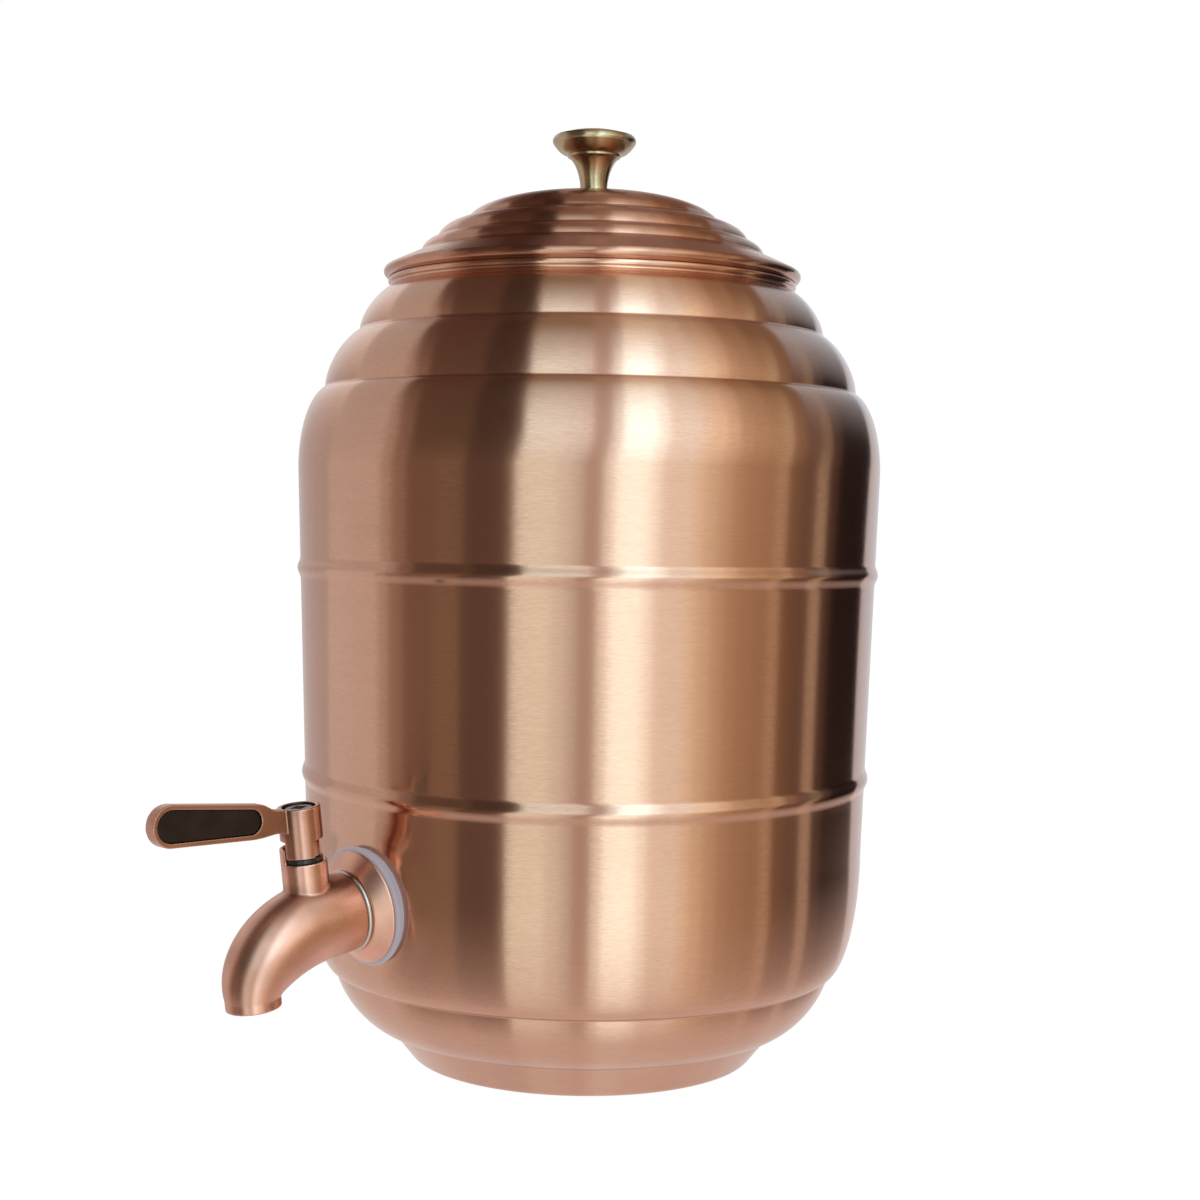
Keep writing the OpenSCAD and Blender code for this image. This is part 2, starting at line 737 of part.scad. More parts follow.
// Outline of the paddle and its neck, x along the lever and y up
neck_curve = [
    for (i = [0:8])
        let (t = i / 8, rise = (1 - cos(180 * t)) / 2)
            [neck_l + (paddle_root_l - neck_l) * t, neck_r + (paddle_root_r - neck_r) * rise]
];
tip = [lever_l - paddle_tip_r, 0];
lever_outline = concat(
    [[0, -neck_r], [0, neck_r]],
    neck_curve,
    arc(tip, paddle_tip_r, 90, -90, 16),
    [[paddle_root_l, -heel_r], [neck_l, -neck_r]]
);
// Outline of the recess: a stadium that narrows towards the neck, smaller by the gap
function inlay_outline(gap) =
    let (
        full_root_r = (paddle_root_r + heel_r) / 2 - inlay_border,
        root = [paddle_root_l - recess_back + full_root_r, (paddle_root_r - heel_r) / 2]
    )
        concat(
            arc(tip, paddle_tip_r - inlay_border - gap, 90, -90, 14),
            arc(root, full_root_r - gap, -90, -270, 14)
        );

// A flat outline stood up as a plate of the lever, its thickness measured from the lever's front face
module lever_plate(from, to) {
    at_stem()
        translate([0, 0, hub_foot + lever_h]) rotate([-lever_rise, 0, 0])
            beside_tap() translate([0, 0, from - lever_t / 2]) linear_extrude(to - from) children();
}

module lever() {
    color(copper)
        difference() {
            union() {
                at_stem() disc(hub_r, hub_head, hub_top);
                at_stem() disc(hub_core_r, hub_foot, hub_head + eps);
                at_stem()
                    ring_sector(
                        hub_core_r - over, hub_r, tab_from, tab_to,
                        hub_foot + stop_gap, hub_head + eps
                    );
                lever_plate(0, lever_t) polygon(lever_outline);
            }
            lever_plate(-over, recess_d) polygon(inlay_outline(0));
            at_stem() disc(counterbore_r, web_top, hub_top + over);
            at_stem() disc(lever_screw_r + hole_gap, web_foot - over, web_top + over);
            at_stem() drive(drive_gap, hub_foot - over, web_foot);
        }
}

module lever_inlay() {
    color(black) lever_plate(inlay_sunk, recess_d - inlay_gap) polygon(inlay_outline(inlay_gap));
}

module lever_washer() {
    color(steel)
        at_stem() translate([0, 0, web_top])
            washer(lever_washer_r, lever_screw_r + hole_gap, lever_washer_t);
}

module lever_screw() {
    grip = lever_washer_t + hub_web + drive_gap + stem_hole_l - screw_end_gap;
    color(steel)
        at_stem() translate([0, 0, web_top + lever_washer_t])
            pan_screw(lever_screw_r, grip, lever_head_r, lever_head_h);
}

body_shell();
lid_shell();
lid_locating_ring();
lid_knob();
knob_screw();
knob_washer();
outer_gasket();
tap_rose();
tap_shank();
inner_gasket();
inner_washer();
back_nut();
spout_body();
stem_bush();
valve_core();
valve_o_rings();
lever();
lever_inlay();
lever_screw();
lever_washer();
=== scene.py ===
# %% [markdown]
# # A copper water dispenser
# The solids of this vessel are ready: they have their real sizes, and the lid and the tap's lever move.
# This lesson gives them their looks. Sheet metal gets its soft folds, castings get their fillets, and every
# surface gets a finish made of nodes. The solids come in first, and nothing moves them afterwards.

# %% Load the solids
import json
import math

import bpy
from mathutils import Matrix, Vector


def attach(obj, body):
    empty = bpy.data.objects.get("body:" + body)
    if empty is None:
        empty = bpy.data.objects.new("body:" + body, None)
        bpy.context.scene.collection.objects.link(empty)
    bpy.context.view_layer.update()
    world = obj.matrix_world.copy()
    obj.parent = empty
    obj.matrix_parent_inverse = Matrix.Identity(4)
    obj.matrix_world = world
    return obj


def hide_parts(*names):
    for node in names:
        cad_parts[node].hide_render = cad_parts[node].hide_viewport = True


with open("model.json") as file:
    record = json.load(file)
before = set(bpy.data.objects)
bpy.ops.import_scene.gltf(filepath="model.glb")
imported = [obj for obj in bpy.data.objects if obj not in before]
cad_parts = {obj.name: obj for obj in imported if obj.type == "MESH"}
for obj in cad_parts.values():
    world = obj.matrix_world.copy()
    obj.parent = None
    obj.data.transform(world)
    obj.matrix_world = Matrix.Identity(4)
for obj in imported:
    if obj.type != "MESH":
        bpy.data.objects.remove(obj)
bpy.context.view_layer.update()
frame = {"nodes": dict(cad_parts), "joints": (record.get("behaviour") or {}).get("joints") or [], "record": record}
mm = 0.001
print(len(frame["nodes"]), "solids:", ", ".join(sorted(frame["nodes"])))

# %% [markdown]
# ## The camera
# A photograph fixes where its camera stood. The ellipses of the rims tell how high it was, and the place of
# the tap tells how far round it stood. The camera here is turned in three plain steps: round the vessel,
# down towards it, and a little about its own line of sight, because the picture was not held quite level.

# %% Camera
camera_round = math.radians(46.2)
camera_away = 737 * mm
camera_height = 189.6 * mm
camera_down = math.radians(2.06)
camera_right = math.radians(0.347)
camera_roll = math.radians(0.88)
camera_lens = 61.86

towards_camera = Vector((math.sin(camera_round), -math.cos(camera_round), 0))
camera_place = towards_camera * camera_away + Vector((0, 0, camera_height))


def deselect():
    bpy.ops.object.select_all(action="DESELECT")


deselect()
bpy.ops.object.camera_add()
camera = bpy.context.object
camera.data.lens = camera_lens
camera.matrix_world = (
    Matrix.Translation(camera_place)
    @ Matrix.Rotation(camera_round - camera_right, 4, "Z")
    @ Matrix.Rotation(math.pi / 2 - camera_down, 4, "X")
    @ Matrix.Rotation(camera_roll, 4, "Z")
)
bpy.context.scene.camera = camera
print("camera at", [round(x, 3) for x in camera_place])

# %% [markdown]
# ## Nodes as sums
# A material is a graph of nodes, and wiring one by hand takes many lines. Two small classes make it read
# like arithmetic. A Wire is one output socket, and adding or multiplying wires makes the Math nodes. A
# Finish is one material, and its node method makes every other kind of node.


# %% Wires
def sum_of(operation, flipped=False):
    def operator(wire, other):
        return wire.maths(operation, *((other, wire) if flipped else (wire, other)))

    return operator


class Wire:
    """An output socket, on which plain arithmetic adds Math nodes."""

    def __init__(self, finish, socket):
        self.finish = finish
        self.socket = socket

    def maths(self, operation, *values):
        sockets = dict(enumerate(values))
        return self.finish.node("ShaderNodeMath", {"operation": operation}, sockets)

    __add__ = sum_of("ADD")
    __radd__ = sum_of("ADD", flipped=True)
    __mul__ = sum_of("MULTIPLY")
    __rmul__ = sum_of("MULTIPLY", flipped=True)
    __truediv__ = sum_of("DIVIDE")
    __pow__ = sum_of("POWER")


# %% Finishes
class Finish:
    """A material, or the world, whose nodes are made one call at a time."""

    def __init__(self, owner):
        owner.use_nodes = True
        self.owner = owner
        self.tree = owner.node_tree
        self.tree.nodes.clear()

    def node(self, kind, settings=None, sockets=None, output=0):
        made = self.tree.nodes.new(kind)
        for name, value in (settings or {}).items():
            if name == "steps":
                made.color_ramp.interpolation = "CONSTANT"
                self.set_stops(made.color_ramp, value)
            else:
                setattr(made, name, value)
        for name, value in (sockets or {}).items():
            if isinstance(value, Wire):
                self.tree.links.new(value.socket, made.inputs[name])
            else:
                plain_colour = isinstance(value, tuple) and made.inputs[name].type == "RGBA"
                made.inputs[name].default_value = (*value, 1.0) if plain_colour else value
        return Wire(self, made.outputs[output]) if made.outputs else made

    @staticmethod
    def set_stops(ramp, stops):
        while len(ramp.elements) < len(stops):
            ramp.elements.new(1)
        for element, (place, light) in zip(ramp.elements, stops):
            element.position = place
            element.color = (*light, 1.0)

    def place(self):
        return self.node("ShaderNodeTexCoord", output="Object")

    def axes(self, vector):
        split = self.node("ShaderNodeSeparateXYZ", sockets={0: vector})
        return [Wire(self, socket) for socket in split.socket.node.outputs]

    def noise(self, vector, scale, detail=2.0):
        sockets = {"Vector": vector, "Scale": scale, "Detail": detail}
        return self.node("ShaderNodeTexNoise", sockets=sockets)

    def nearness(self, reach, inside):
        """One on open surface, and less where the piece's own metal is near, outside or inside its skin."""
        settings = {"samples": 8, "only_local": True, "inside": inside}
        return self.node("ShaderNodeAmbientOcclusion", settings, {"Distance": reach}, output="AO")

    def between(self, low, high, wire, bottom=0.0, top=1.0):
        """A value that goes from bottom to top while the wire goes from low to high."""
        sockets = {"Value": wire, "From Min": low, "From Max": high, "To Min": bottom, "To Max": top}
        return self.node("ShaderNodeMapRange", sockets=sockets)

    def mix(self, factor, first, second):
        """A colour that goes from the first to the second as the factor goes from 0 to 1."""
        sockets = {0: factor, 6: first, 7: second}
        return self.node("ShaderNodeMix", {"data_type": "RGBA"}, sockets, output=2)

    def bump(self, height, strength, depth):
        sockets = {"Height": height, "Strength": strength, "Distance": depth}
        return self.node("ShaderNodeBump", sockets=sockets)

    def surface(self, shader):
        is_world = isinstance(self.owner, bpy.types.World)
        kind = "ShaderNodeOutputWorld" if is_world else "ShaderNodeOutputMaterial"
        self.node(kind, sockets={"Surface": shader})
        return self.owner

    def principled(self, **sockets):
        named = {name.replace("_", " "): value for name, value in sockets.items()}
        return self.surface(self.node("ShaderNodeBsdfPrincipled", sockets=named))


def new_finish(name):
    return Finish(bpy.data.materials.new(name))


print("classes ready:", Wire.__name__, "and", Finish.__name__)

# %% [markdown]
# ## The room that the copper mirrors
# Polished metal has hardly a colour of its own: it shows the room. The vessel in the picture shows tall
# windows, dark furniture and a pale wall, as upright bands. So the stage is a large shell round the vessel,
# painted with light. A point of it is found by the tilt of the mirror that would show it to the camera: how
# far that mirror is turned to the right, and how far it leans up. Painted like that, a band stays upright
# on every tier. Right behind the vessel those two angles run together to a point, so a plain soft wall is
# laid over it. Only mirrored rays see the shell, and the soft light for everything else comes from the sky
# and one broad lamp.

# %% Light of the room
room_radius, room_middle = 2, 0.15
to_the_right = Vector((math.cos(camera_round), math.sin(camera_round), 0))
# Each band: where it starts, in degrees to the right of the camera, its light level with the vessel, and how
# many times brighter it is at the top of the windows
bands = [
    (-180, (0.58, 0.54, 0.54), 1.0),
    (-120, (0.75, 0.72, 0.70), 0.86),
    (-87, (0.58, 0.50, 0.45), 0.9),
    (-81, (0.38, 0.29, 0.24), 0.8),
    (-74, (0.25, 0.175, 0.13), 0.6),
    (-60, (0.28, 0.21, 0.15), 0.5),
    (-48, (0.15, 0.105, 0.085), 0.6),
    (-32, (0.24, 0.185, 0.14), 0.7),
    (-29, (1.12, 1.33, 1.28), 1.07),
    (-13, (0.97, 1.1, 1.08), 1.2),
    (-8, (0.79, 0.85, 0.83), 1.45),
    (-3, (0.58, 0.50, 0.45), 1.2),
    (3.5, (1.2, 1.4, 1.42), 1.1),
    (8, (1.75, 2.25, 2.35), 1.25),
    (20, (1.45, 1.75, 1.8), 1.2),
    (25, (1.15, 1.25, 1.2), 1.2),
    (37, (1.08, 1.07, 0.88), 1.25),
    (42, (0.90, 0.83, 0.64), 1.45),
    (47, (0.72, 0.60, 0.45), 1.5),
    (53, (0.57, 0.45, 0.31), 1.35),
    (59, (0.50, 0.375, 0.25), 1.35),
    (65, (0.45, 0.33, 0.21), 1.4),
    (72, (0.57, 0.46, 0.32), 1.2),
    (78, (0.22, 0.145, 0.09), 1.6),
    (85, (0.18, 0.12, 0.09), 1.2),
    (93, (0.50, 0.44, 0.34), 0.6),
    (100, (0.08, 0.05, 0.04), 1.2),
    (107, (0.02, 0.013, 0.012), 1.2),
    (136, (0.66, 0.70, 0.76), 1.0),
]
sky_white = (1.0, 1.12, 1.25)
# The same for what is high above the vessel
overhead = [
    (-180, (0.95, 0.95, 0.95)),
    (-118, (0.58, 0.56, 0.55)),
    (-84, (0.12, 0.07, 0.055)),
    (-47, (0.065, 0.04, 0.03)),
    (-30, (0.34, 0.28, 0.20)),
    (-3, (0.46, 0.37, 0.30)),
    (8, (0.88, 0.92, 0.80)),
    (25, (0.78, 0.75, 0.66)),
    (34, (0.64, 0.55, 0.44)),
    (44, (0.55, 0.42, 0.30)),
    (52, (0.38, 0.27, 0.17)),
    (65, (0.26, 0.18, 0.11)),
    (86, (0.50, 0.60, 0.70)),
    (142, (0.70, 0.90, 1.1)),
]
# And for what is straight above it, and behind it
far_overhead = [
    (-180, (0.80, 0.76, 0.74)),
    (-112, (0.50, 0.43, 0.40)),
    (-100, (0.27, 0.20, 0.17)),
    (-90, (0.18, 0.11, 0.09)),
    (-78, (0.11, 0.06, 0.045)),
    (-66, (0.07, 0.035, 0.025)),
    (-44, (0.11, 0.065, 0.05)),
    (-36, (0.19, 0.12, 0.10)),
    (-28, (0.31, 0.21, 0.17)),
    (-14, (0.40, 0.28, 0.22)),
    (20, (0.34, 0.23, 0.18)),
    (50, (0.26, 0.16, 0.12)),
    (100, (0.42, 0.38, 0.38)),
    (114, (0.74, 0.71, 0.71)),
]
table_light, table_share = (0.80, 0.72, 0.70), 0.93
# Between which leans, in degrees, one height of the room fades into the next
up_the_windows, to_overhead, to_far_overhead, to_table = (0.5, 7), (12, 42), (46, 58), (-38, -10)
# How far round the bands slant, in parts of a turn, between two leans
slant_leans, slant_turns = (-6, 9), (0.005, -0.012)
# The soft wall behind, in room radii: half its width, its height, and where it fades
back_half, back_rise, back_fade = 0.25, 0.35, (0.02, 0.15)
print(len(bands), "bands of light")


# %% The mirrored room
def at_window_top(light, rise):
    white = sky_white if rise > 1 else (1, 1, 1)
    return [value * rise * tint for value, tint in zip(light, white)]


def room_finish():
    finish = new_finish("room_light")
    x, y, z = finish.axes(finish.place())
    right = (x * to_the_right.x + y * to_the_right.y) / room_radius
    near = (x * towards_camera.x + y * towards_camera.y) / room_radius + 1.0
    level = (right * right + near * near) ** 0.5
    lean = z.maths("ARCTAN2", z / room_radius, level) * math.degrees(1)
    slant = finish.between(*slant_leans, lean, *slant_turns)
    turned = right.maths("ARCTAN2", right, near) / math.pi + 0.5 + slant

    def painted(rows):
        steps = [((start + 180) / 360, light) for start, light in rows]
        return finish.node("ShaderNodeValToRGB", {"steps": steps}, {0: turned})

    low = painted([(start, light) for start, light, rise in bands])
    high = painted([(start, at_window_top(light, rise)) for start, light, rise in bands])
    shown = finish.mix(finish.between(*up_the_windows, lean), low, high)
    shown = finish.mix(finish.between(*to_overhead, lean), shown, painted(overhead))
    shown = finish.mix(finish.between(*to_far_overhead, lean), shown, painted(far_overhead))
    shown = finish.mix(finish.between(*to_table, lean, table_share, 0.0), shown, table_light)
    climb = z / room_radius
    across = finish.between(-back_half, back_half, right)
    back = finish.mix(across, bands[0][1], bands[-1][1])
    back = finish.mix(finish.between(0.0, back_rise, climb), back, far_overhead[0][1])
    back = finish.mix(finish.between(-back_rise, 0.0, climb, table_share, 0.0), back, table_light)
    shown = finish.mix(finish.between(*back_fade, near, 1.0, 0.0), shown, back)
    return finish.surface(finish.node("ShaderNodeEmission", sockets={"Color": shown, "Strength": 1.0}))


deselect()
bpy.ops.mesh.primitive_uv_sphere_add(
    segments=96, ring_count=48, radius=room_radius, location=(0, 0, room_middle)
)
room = bpy.context.object
room.name = "mirrored_room"
room.data.materials.append(room_finish())
for sight in ("camera", "diffuse", "transmission", "volume_scatter", "shadow"):
    setattr(room, "visible_" + sight, False)
print(room.name, "is", room_radius, "m in radius")

# %% [markdown]
# ## Sky, floor and lamp
# The sky is white to the camera, so the backdrop is plain. To mirrored rays it is a dim ceiling overhead.
# The floor mixes a little glow into a matt white, so that it stays pale and still takes the vessel's
# shadow.

# %% Sky, floor and lamp
floor_radius, floor_glow = 4, 0.95
sky = Finish(bpy.data.worlds.new("sky"))
height = sky.axes(sky.node("ShaderNodeTexCoord", output="Generated"))[2]
ceiling = sky.mix(sky.between(0.35, 0.8, height), (0.40, 0.31, 0.24), (0.30, 0.23, 0.17))
ray = sky.node("ShaderNodeLightPath").socket.node.outputs
seen = Wire(sky, ray["Is Camera Ray"])
mirrored = Wire(sky, ray["Is Glossy Ray"])
lit = sky.mix(mirrored, (0.62, 0.61, 0.60), ceiling)
sky.surface(sky.node("ShaderNodeBackground", sockets={"Color": sky.mix(seen, lit, (1, 1, 1))}))
bpy.context.scene.world = sky.owner
bpy.context.scene.view_settings.view_transform = "Standard"


def floor_finish():
    finish = new_finish("floor_white")
    matt = finish.node("ShaderNodeBsdfDiffuse", sockets={"Color": (0.86, 0.855, 0.85)})
    shine = finish.node("ShaderNodeEmission", sockets={"Color": (1, 1, 1), "Strength": 1.04})
    return finish.surface(finish.node("ShaderNodeMixShader", sockets={0: floor_glow, 1: matt, 2: shine}))


deselect()
bpy.ops.mesh.primitive_circle_add(vertices=128, radius=floor_radius, fill_type="NGON")
floor = bpy.context.object
floor.name = "floor"
floor.data.materials.append(floor_finish())
floor.visible_glossy = False

deselect()
bpy.ops.object.light_add(type="AREA", location=(0.35, -0.2, 1.6))
lamp = bpy.context.object
lamp.name = "broad_lamp"
lamp.data.shape = "DISK"
lamp.data.size = 1.4
lamp.data.energy = 9
lamp.rotation_euler = (-lamp.location).to_track_quat("-Z", "Y").to_euler()
lamp.visible_glossy = False
print("sky, floor and", lamp.name, "are set")

# %% [markdown]
# ## Brushed copper
# The vessel was spun on a lathe and then brushed while it turned, so its lines run round it. A noise that
# changes slowly round the axis and fast along the outline draws them. The same lines smear each reflection
# up and down, and the shader's own anisotropy does that. Round the axis the noise reads the direction and
# not the angle, so it has no seam.


# %% Spun copper
def round_axis(finish, turns, fine):
    """Noise coordinates that run slowly round the Z axis and fast along the outline."""
    x, y, z = finish.axes(finish.place())
    radius = (x * x + y * y + 1e-8) ** 0.5
    sockets = {0: x / radius * turns, 1: y / radius * turns, 2: z * fine}
    return finish.node("ShaderNodeCombineXYZ", sockets=sockets), radius * fine


def brush_lines(finish, turns, fine, detail=3.0):
    vector, across = round_axis(finish, turns, fine)
    sockets = {"Vector": vector, "W": across, "Scale": 1.0, "Detail": detail, "Roughness": 0.65}
    return finish.node("ShaderNodeTexNoise", {"noise_dimensions": "4D"}, sockets)


def spun_copper(name, metal, shade, rough, directional):
    finish = new_finish(name)
    fine = brush_lines(finish, 36, 2600)
    broad = brush_lines(finish, 4, 300, 2.0)
    cloud = finish.noise(finish.place(), 14, 3.0)
    lines = fine * 0.8 + broad * 0.2
    tone = finish.between(0.32, 0.68, lines * 0.7 + cloud * 0.3)
    return finish.principled(
        Base_Color=finish.mix(tone, shade, metal),
        Metallic=1.0,
        Roughness=finish.between(0.3, 0.7, lines, rough + 0.04, rough - 0.04),
        Anisotropic=directional,
        Anisotropic_Rotation=0.25,
        Coat_Weight=0.15,
        Coat_Roughness=0.06,
        Normal=finish.bump(lines, 0.14, 0.1 * mm),
    )


vessel_copper = spun_copper("vessel_copper", (0.69, 0.405, 0.29), (0.58, 0.33, 0.23), 0.175, 0.8)
lid_copper = spun_copper("lid_copper", (0.585, 0.305, 0.21), (0.475, 0.235, 0.155), 0.18, 0.75)
inside_copper = spun_copper("inside_copper", (0.74, 0.47, 0.37), (0.62, 0.37, 0.28), 0.42, 0.4)
print("made", vessel_copper.name, lid_copper.name, inside_copper.name)

# %% [markdown]
# ## Cast and turned finishes
# The tap is plated and satin, with a fine even grain. Its hollows are darkened, partly as tarnish and partly as
# painted shade, and its edges are lightened, partly as rubbed wear and partly as painted highlight. The Ambient
# Occlusion node finds both, by looking round outside the skin and inside it. The rose takes a lighter copy of
# the tap's copper, as painted light, and the lever a darker copy, as tarnish and painted shade. The knob is
# brass that has gone a little brown. Steel, silicone and black plastic each need one line of colour and a
# little unevenness, because no real surface is quite even. The silicone also glows faintly, as painted light
# that stands in for what the copper wall bounces onto the gasket.

# %% Other finishes
# The rubbed edge colour is also a painted highlight, and the tarnish colour is also painted shade in hollows.
edge_reach, rubbed_and_painted_highlight = 0.6, (0.88, 0.58, 0.46)
hollow_reach, tarnish_and_painted_shade = 6, (0.09, 0.04, 0.03)


def satin_metal(name, metal, shade, rough, grain=4000, depth=0.012, wear_and_painted_light=0.0):
    """A grained, clouded metal: hollows darkened as tarnish and painted shade, edges lit as wear and painted
    highlight.
    """
    finish = new_finish(name)
    place = finish.place()
    speck = finish.noise(place, grain, 2.0)
    cloud = finish.noise(place, 55, 3.0)
    surface = finish.mix(finish.between(0.35, 0.65, cloud), shade, metal)
    if wear_and_painted_light:
        # Edges found from inside the skin are lightened: rubbed wear, and also a painted highlight.
        edge = finish.between(0.55, 0.96, finish.nearness(edge_reach * mm, True), wear_and_painted_light * 0.8, 0.0)
        # Hollows found from outside the skin are darkened: tarnish, and also painted shade.
        tarnished_and_shaded = finish.between(0.55, 0.97, finish.nearness(hollow_reach * mm, False), wear_and_painted_light, 0.0)
        surface = finish.mix(edge, surface, rubbed_and_painted_highlight)
        surface = finish.mix(tarnished_and_shaded, surface, tarnish_and_painted_shade)
    return finish.principled(
        Base_Color=surface,
        Metallic=1.0,
        Roughness=finish.between(0.3, 0.7, cloud * 0.5 + speck * 0.5, rough + 0.05, rough - 0.05),
        Normal=finish.bump(speck, 0.15, depth * mm),
    )


def turned_metal(name, metal, shade, rough):
    """A metal turned on a lathe, with rings round the Z axis and a tarnished cloud."""
    finish = new_finish(name)
    rings = brush_lines(finish, 2, 2200)
    cloud = finish.noise(finish.place(), 120, 3.0)
    tone = finish.between(0.3, 0.7, cloud * 0.6 + rings * 0.4)
    return finish.principled(
        Base_Color=finish.mix(tone, shade, metal),
        Metallic=1.0,
        Roughness=finish.between(0.3, 0.7, rings, rough + 0.05, rough - 0.05),
        Normal=finish.bump(rings, 0.06, 0.03 * mm),
    )


def moulded(name, light, dark, rough, grain, depth, shine=0.5, glow=(0, 0, 0)):
    """Rubber or plastic: a plain colour, a fine skin, and an optional glow, which on the silicone is painted
    light.
    """
    finish = new_finish(name)
    place = finish.place()
    skin = finish.noise(place, grain, 3.0)
    cloud = finish.noise(place, 90, 2.0)
    return finish.principled(
        Base_Color=finish.mix(finish.between(0.35, 0.65, cloud), dark, light),
        Roughness=finish.between(0.3, 0.7, cloud, rough - 0.05, rough + 0.05),
        Specular_IOR_Level=shine,
        Emission_Color=glow,
        Emission_Strength=1.0,
        Normal=finish.bump(skin, 0.2, depth * mm),
    )


tap_copper = satin_metal("tap_copper", (0.78, 0.43, 0.325), (0.58, 0.31, 0.23), 0.29, wear_and_painted_light=0.8)
# The rose's copy of the tap's copper is lighter, as painted light for how the lamps fall on it.
rose_copper_painted_lighter = satin_metal("rose_copper_painted_lighter", (0.86, 0.48, 0.36), (0.70, 0.38, 0.285), 0.31)
# The lever's copy of the tap's copper is darker, partly as tarnish and partly as painted shade.
lever_copper_aged_and_shaded = satin_metal("lever_copper_aged_and_shaded", (0.64, 0.335, 0.25), (0.43, 0.215, 0.155), 0.25, wear_and_painted_light=1.0)
knob_brass = turned_metal("knob_brass", (0.54, 0.42, 0.27), (0.44, 0.335, 0.20), 0.24)
valve_brass = turned_metal("valve_brass", (0.72, 0.55, 0.28), (0.62, 0.46, 0.22), 0.3)
bright_steel = satin_metal("bright_steel", (0.62, 0.575, 0.53), (0.48, 0.44, 0.41), 0.12)
dark_steel = satin_metal("dark_steel", (0.30, 0.27, 0.25), (0.22, 0.19, 0.17), 0.38)
# A nearly black copper, laid in the lever's counterbore as painted shade.
painted_shade_recess = satin_metal("painted_shade_recess", (0.07, 0.045, 0.035), (0.04, 0.025, 0.02), 0.35)
# The silicone's faint glow is painted light, standing in for the light that the copper wall bounces onto it.
grey, dark_grey, grey_painted_bounce_light = (0.22, 0.20, 0.23), (0.19, 0.175, 0.20), (0.19, 0.172, 0.195)
grey_silicone = moulded("grey_silicone", grey, dark_grey, 0.5, 1500, 0.05, 0.4, grey_painted_bounce_light)
black_rubber = moulded("black_rubber", (0.03, 0.03, 0.03), (0.02, 0.02, 0.02), 0.6, 2200, 0.05)
black_bush = moulded("black_bush", (0.02, 0.017, 0.016), (0.014, 0.012, 0.012), 0.18, 1200, 0.02)
black_enamel = moulded("black_enamel", (0.026, 0.013, 0.009), (0.016, 0.008, 0.006), 0.3, 1800, 0.04, 0.25)
print("made", len(bpy.data.materials), "materials in all")

# %% [markdown]
# ## Outlines
# Most of this vessel is round, so most of it is an outline turned about an axis. An outline is a list of
# points, radius and height, in millimetres. A conic bends from one point to the next towards a corner, and
# a folded sheet gets each sharp corner rounded, because metal never folds to a line.


# %% Curves of an outline
def conic(start, corner, end, weight, steps):
    points = []
    for i in range(1, steps + 1):
        t = i / steps
        a, b, c = (1 - t) ** 2, 2 * weight * t * (1 - t), t * t
        points.append((start * a + corner * b + end * c) / (a + b + c))
    return points


def swell(start, end, back, lift, weight, steps):
    """A tier that swells outwards and then climbs, as at the base."""
    corner = Vector((end.x - back * (end.x - start.x), start.y + lift * (end.y - start.y)))
    return conic(start, corner, end, weight, steps)


def close_in(start, end, lean, drop, weight, steps):
    """A tier that climbs and then closes in, as at the shoulder and on the lid."""
    corner = Vector((start.x - lean * (start.x - end.x), end.y - drop * (end.y - start.y)))
    return conic(start, corner, end, weight, steps)


def arc(centre, radius, start, end, steps):
    angles = [math.radians(start + (end - start) * i / steps) for i in range(steps + 1)]
    return [centre + Vector((math.cos(a), math.sin(a))) * radius for a in angles]


def soften(path, reach, sharp=16):
    """Rounds each corner of more than sharp degrees, over reach millimetres on each side of it."""
    soft = [path[0]]
    for before, corner, after in zip(path, path[1:], path[2:]):
        arrive, leave = corner - before, after - corner
        if arrive.angle(leave) < math.radians(sharp):
            soft.append(corner)
            continue
        near = corner - arrive * min(0.5, reach / arrive.length)
        far = corner + leave * min(0.5, reach / leave.length)
        soft += [near] + conic(near, corner, far, 0.8, 5)
    return soft + [path[-1]]


def inset(path, wall):
    """The same open outline, moved to its left by the thickness of a wall."""
    lefts = [Vector((a.y - b.y, b.x - a.x)).normalized() for a, b in zip(path, path[1:])]
    befores = [lefts[0]] + lefts
    afters = lefts + [lefts[-1]]
    return [p + (a + b) * wall / (1 + a.dot(b)) for p, a, b in zip(path, befores, afters)]


print("a quarter arc has", len(arc(Vector((0, 0)), 1, 0, 90, 8)), "points")

# %% [markdown]
# ## Drawing and turning
# An outline is drawn as by hand: one vertex is put down and pulled out from point to point. A spin then
# turns it about its axis. A spin leaves double points where it closes and may leave faces inside out, so
# both are put right before the piece is set down in its place.

# %% Drawing and turning
weld = 0.002 * mm
print("points closer than", weld / mm, "mm are merged")


def edit_all():
    bpy.ops.object.mode_set(mode="EDIT")
    bpy.ops.mesh.select_all(action="SELECT")


def draw(name, points):
    """A chain of edges through the points, as a new object."""
    deselect()
    bpy.ops.mesh.primitive_plane_add(size=mm)
    piece = bpy.context.object
    piece.name = name
    piece.data.name = name
    edit_all()
    bpy.ops.mesh.merge(type="CENTER")
    bpy.ops.transform.translate(value=points[0])
    for here, there in zip(points, points[1:]):
        bpy.ops.mesh.extrude_vertices_move(TRANSFORM_OT_translate={"value": there - here})
    bpy.ops.mesh.select_all(action="SELECT")
    bpy.ops.mesh.remove_doubles(threshold=weld)
    bpy.ops.object.mode_set(mode="OBJECT")
    return piece


def finish_edit(holes=None):
    """Fills holes, merges double points, turns every face outwards and leaves edit mode."""
    bpy.ops.mesh.select_all(action="SELECT")
    if holes is not None:
        bpy.ops.mesh.fill_holes(sides=holes)
        bpy.ops.mesh.select_all(action="SELECT")
    bpy.ops.mesh.remove_doubles(threshold=weld)
    bpy.ops.mesh.normals_make_consistent(inside=False)
    bpy.ops.object.mode_set(mode="OBJECT")


